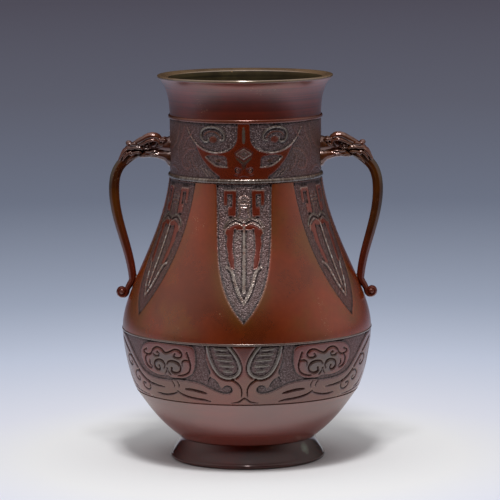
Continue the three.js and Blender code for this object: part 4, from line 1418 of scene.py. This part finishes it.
# Faces turned outwards and up get the olive-grey skin above the scroll: a painted reflection of the bright
# room on the outer bevel.
faces_out = vertex_rows(bow_mesh, "normal") @ [0.92, 0, 0.38]
above_scroll = step_up(150, 195, bow_points[:, 2])
tag(bow_mesh, "olive", above_scroll * step_up(0.5, 0.85, faces_out))
tag(bow_mesh, "amber", 0.6 * above_scroll * step_up(236, 226, bow_points[:, 2]))
tag(bow_mesh, "red", 0.6 * (1 - above_scroll))
tag_bends(bow_mesh, 4, 0.08, 0.4, 0.3)
both_sides(bow_mesh, "strap_bow", bow_bronze, "handle_bow", 35)

# %% [markdown]
# ## The beast's head
# A small horned beast grips the strap. A sculptor would model it in wax from rolls and pellets pressed
# together, and so does this cell. Tubes, lofts and eggs are worked out as surfaces, then remeshed into
# one skin. Grooves are pressed into that skin as distances to lines, as a tool would.

# %% Head


def loft(stations, sides=32, squareness=2.3):
    """Rounded boxes across the handle, joined. A station is: out, top, underside and half-width."""
    out, top, under, half = smooth_path(stations, 5).T[:, :, None]
    turn = np.arange(sides)[None, :] * 2 * np.pi / sides
    round_x = np.sign(np.cos(turn)) * np.abs(np.cos(turn)) ** (2 / squareness)
    round_y = np.sign(np.sin(turn)) * np.abs(np.sin(turn)) ** (2 / squareness)
    grid = np.stack(np.broadcast_arrays(
        out + 0 * turn, half * round_y, (top + under) / 2 + (top - under) / 2 * round_x
    ), -1)
    return close_ends(grid)


def tube(points, radii, sides=14):
    """A round tube through the points. Its radius eases from value to value and closes at the ends."""
    line = smooth_path(points, 6)
    radius = np.interp(np.linspace(0, 1, len(line)), np.linspace(0, 1, len(radii)), radii)
    ends = np.minimum(np.arange(len(line)), np.arange(len(line))[::-1]) / 3
    radius = radius * np.sqrt(np.clip(1 - (1 - np.clip(ends, 0, 1)) ** 2, 0.02, 1))
    ahead = unit(np.gradient(line, axis=0))
    side = unit(np.cross(ahead, [0.13, 0.21, 0.97]))
    up = np.cross(side, ahead)
    turn = np.arange(sides) * 2 * np.pi / sides
    spread = np.cos(turn)[None, :, None] * side[:, None] + np.sin(turn)[None, :, None] * up[:, None]
    return close_ends(line[:, None] + radius[:, None, None] * spread)


def egg(centre, radii, sides=20):
    """An egg about a centre: its radii times the cosines and sines of two angles."""
    fall = np.linspace(0, np.pi, sides // 2 + 1)[:, None]
    turn = np.arange(sides)[None, :] * 2 * np.pi / sides
    grid = np.stack(np.broadcast_arrays(
        np.sin(fall) * np.cos(turn), np.sin(fall) * np.sin(turn), np.cos(fall) + 0 * turn
    ), -1)
    return np.array(centre) + grid * np.array(radii)


def curl_about(centre, radius, turns, start, aside, shrink, count):
    """Points of a curl in the plane of the handle, on one side of the head."""
    flat = spiral(centre, radius, turns, start, shrink, count)
    return [(x, aside, z) for x, z in flat]


cranium = [
    (57.6, 252.2, 238, 9.2), (60, 251.8, 238.5, 8.8), (62.6, 250.8, 239, 7.8), (66, 251.4, 239.5, 6.4),
    (70, 253, 240, 5.6), (74, 253.6, 240.4, 5.4), (78, 251.8, 240, 5.4), (82, 249.6, 239.4, 5.7),
    (86, 248, 239, 5.8), (90, 246.6, 238, 5.4), (93, 244.4, 237, 4.6), (95, 241.8, 236, 3.8),
]
jaw = [
    (57.6, 243, 227.6, 9.4), (60, 242.6, 228.8, 9.2), (63, 242, 232.6, 8.2), (66.5, 241.6, 234.2, 7.2),
    (70, 241.6, 235.2, 7), (74, 241.6, 235.6, 7), (78, 240.6, 235.4, 6.6),
    (80.5, 239.4, 235.2, 5.8), (82, 238.8, 235.6, 4.4), (82.8, 238, 236.4, 2.4),
]
parts = [loft(cranium), loft(jaw)]
for side in (1, -1):
    def roll(radii, *points):
        return tube([(x, y * side, z) for x, y, z in points], radii)

    parts += [
        # brow ridges from the back of the head to the snout, and a second fold under each
        roll([1.2, 2.1, 2.2, 1.9, 1.3], (65.4, 5, 249.6), (68.4, 5.4, 251.8), (72, 5.2, 252.6),
             (76, 5.2, 251.8), (80.5, 5.2, 249.4), (84.5, 4.8, 247.4), (87.5, 4, 246.4)),
        roll([0.8, 1.3, 1.2, 0.8], (67, 6.4, 248.4), (71, 7.2, 249.4), (75.5, 7.2, 248.6),
             (79.5, 6.6, 246.6), (83, 5.8, 245.4)),
        # eye with its lids
        egg((76.2, 5.6 * side, 244.9), (1.4, 1.6, 1.4)),
        roll([0.6, 0.6], *curl_about((76.2, 244.9), 2.6, 1.0, 20, 5.9, 1.0, 14)),
        # upper lip with its curl, cheek and nostril
        roll([0.8, 1.3, 1.1, 0.9], (79.4, 5.6, 241.4), (80.9, 6.2, 243.1), (84.2, 6.2, 243.5),
             (88, 5.8, 243.1), (92, 5, 242.6)),
        roll([0.9, 1.6, 1.3], (82.5, 5.4, 246), (86, 5.2, 246.2), (89.4, 4.2, 245.4)),
        egg((90.2, 2.5 * side, 245.8), (2.3, 2.0, 2.0)),
        # the rim of the leaf in its mouth
        roll([0.9, 1.3, 1.2, 0.9], (80.4, 5.6, 239.4), (83, 6.1, 239.9), (86.5, 6.1, 239.4),
             (90, 5.8, 237.6)),
        # ear with its curl, and two folds along the jaw
        egg((63.4, 7.2 * side, 249.6), (2.8, 1.7, 1.6)),
        roll([0.8, 0.9, 0.7], *curl_about((66, 247.6), 2.6, 1.2, 60, 6.9, 0.25, 16)),
        roll([0.5, 0.75, 0.5], (67.6, 6.9, 240.8), (71, 7, 240.9), (75, 6.7, 240.4), (78.4, 6.2, 240.7)),
        roll([0.5, 0.7, 0.4], (67.6, 7.1, 237.9), (71, 7.2, 238.3), (75, 7, 237.9)),
        # locks of mane that lie along the strap
        roll([0.9, 1.3, 1.0, 0.5], (88, 5.6, 241), (91.4, 5.8, 238.6), (94, 5.6, 235.8),
             (95.6, 5.2, 232.6)),
        roll([0.9, 1.2, 0.9, 0.5], (86, 5.6, 238.4), (88.6, 5.8, 235.6), (91, 5.6, 233.2),
             (92.6, 5.2, 230.6)),
        roll([0.9, 1.2, 0.9, 0.5], (91.4, 4.6, 242.6), (94, 5, 239.8), (96.2, 4.8, 236.6),
             (97.6, 4.4, 233.2)),
        roll([1.0, 1.3, 1.0, 0.6], (92.6, 2.8, 243.2), (94.8, 3, 239.6), (97.2, 2.8, 235.4),
             (98.8, 2.4, 232)),
    ]
parts += [
    egg((90.8, 0, 246.7), (2.5, 2.5, 2.3)),
    tube([(66.5, 0, 251.4), (70, 0, 253.2), (75, 0, 253.2), (80, 0, 250.8), (86, 0, 248)],
         [1.2, 1.5, 1.4, 1.2]),
    tube([(93.4, 0, 243), (95.3, 0, 239), (97.6, 0, 234.4), (99.4, 0, 231)], [1.5, 1.7, 1.4, 0.7]),
]
raw = new_object("head_in_wax", merged_mesh("head_in_wax", parts))
remesh = raw.modifiers.new("one_skin", "REMESH")
remesh.mode = "VOXEL"
remesh.voxel_size = 0.00042
bpy.context.view_layer.update()
head_mesh = bpy.data.meshes.new_from_object(raw.evaluated_get(bpy.context.evaluated_depsgraph_get()))
bpy.data.objects.remove(raw)


def pressed(points, line, half_width, depth):
    """Moves points towards the head's middle plane near a line: depth times e^-(distance / width)^2."""
    line = smooth_path(line, 5)
    near = np.full(len(points), 1e3)
    for place in line:
        near = np.minimum(near, np.linalg.norm((points - place) * [1, 0.6, 1], axis=1))
    dent = depth * np.exp(-((near / half_width) ** 2))
    return points - np.column_stack([0 * dent, np.sign(points[:, 1]) * dent, 0 * dent])


head_points = mesh_points(head_mesh)
for side in (1, -1):
    for groove, half_width, depth in [
        ([(79, 6.4, 241), (83, 6.2, 241.5), (88, 5.8, 241.2), (92.5, 5.2, 240.4)], 0.5, 0.7),
        ([(68, 6.4, 246.6), (70.6, 6.4, 243.6), (74, 6, 242)], 0.7, 0.9),
    ]:
        line_here = [(x, y * side, z) for x, y, z in groove]
        head_points = pressed(head_points, line_here, half_width, depth)
wax = ripple(head_points[:, 0] + head_points[:, 1], head_points[:, 2] - head_points[:, 1], 4, 3.0)
head_points[:, 2] += 0.18 * wax
set_points(head_mesh, head_points)
# Thirty smoothings make the hollow mask broad, so the creases of the head are painted dark as shade.
tag_bends(head_mesh, 30, 0.04, 0.32, 0.14)
both_sides(head_mesh, "beast_head", head_bronze, "handle_head", 70)

# %% [markdown]
# ## The rivets
# Two rivets hold each handle. Only their low domed heads show, inside the vessel.

# %% Rivets


def rivet(name, start, along, length):
    """A domed head and a shank turned about a line that leaves a point inside the wall."""
    along = np.array(along, float) / np.linalg.norm(along)
    dome = np.linspace(0, np.pi / 2, 8)
    head = np.column_stack([5.0 * np.sin(dome), -0.3 - 1.9 * np.cos(dome)])
    profile = np.vstack([head, [[5.0, 0], [2.6, 0], [2.6, length], [0, length]]])
    turn = np.arange(32) * 2 * np.pi / 32
    side = np.array([0, 1.0, 0])
    up = np.cross(along, side)
    ring_way = np.cos(turn)[None, :, None] * side + np.sin(turn)[None, :, None] * up
    grid = np.array(start) + profile[:, None, 1:2] * along + profile[:, None, 0:1] * ring_way
    return merged_mesh(name, [grid])


slope = (shoulder_radius(bow_foot_height + 0.5) - shoulder_radius(bow_foot_height - 0.5))
lean_out = np.array([1, 0, -slope]) / math.hypot(1, slope)
foot_point = np.array([shoulder_radius(bow_foot_height), 0, bow_foot_height])
for name, start, along, bite in [
    ("neck_rivet", np.array([neck_radius, 0, arm_height]), np.array([1.0, 0, 0]), 0.24 * head_length),
    ("shoulder_rivet", foot_point, lean_out, 0.5 * bow_foot_thickness),
]:
    mesh = rivet(name, start - (wall + clearance) * along, along, wall + clearance + bite)
    both_sides(mesh, name + "_dome", plate_bronze, name)
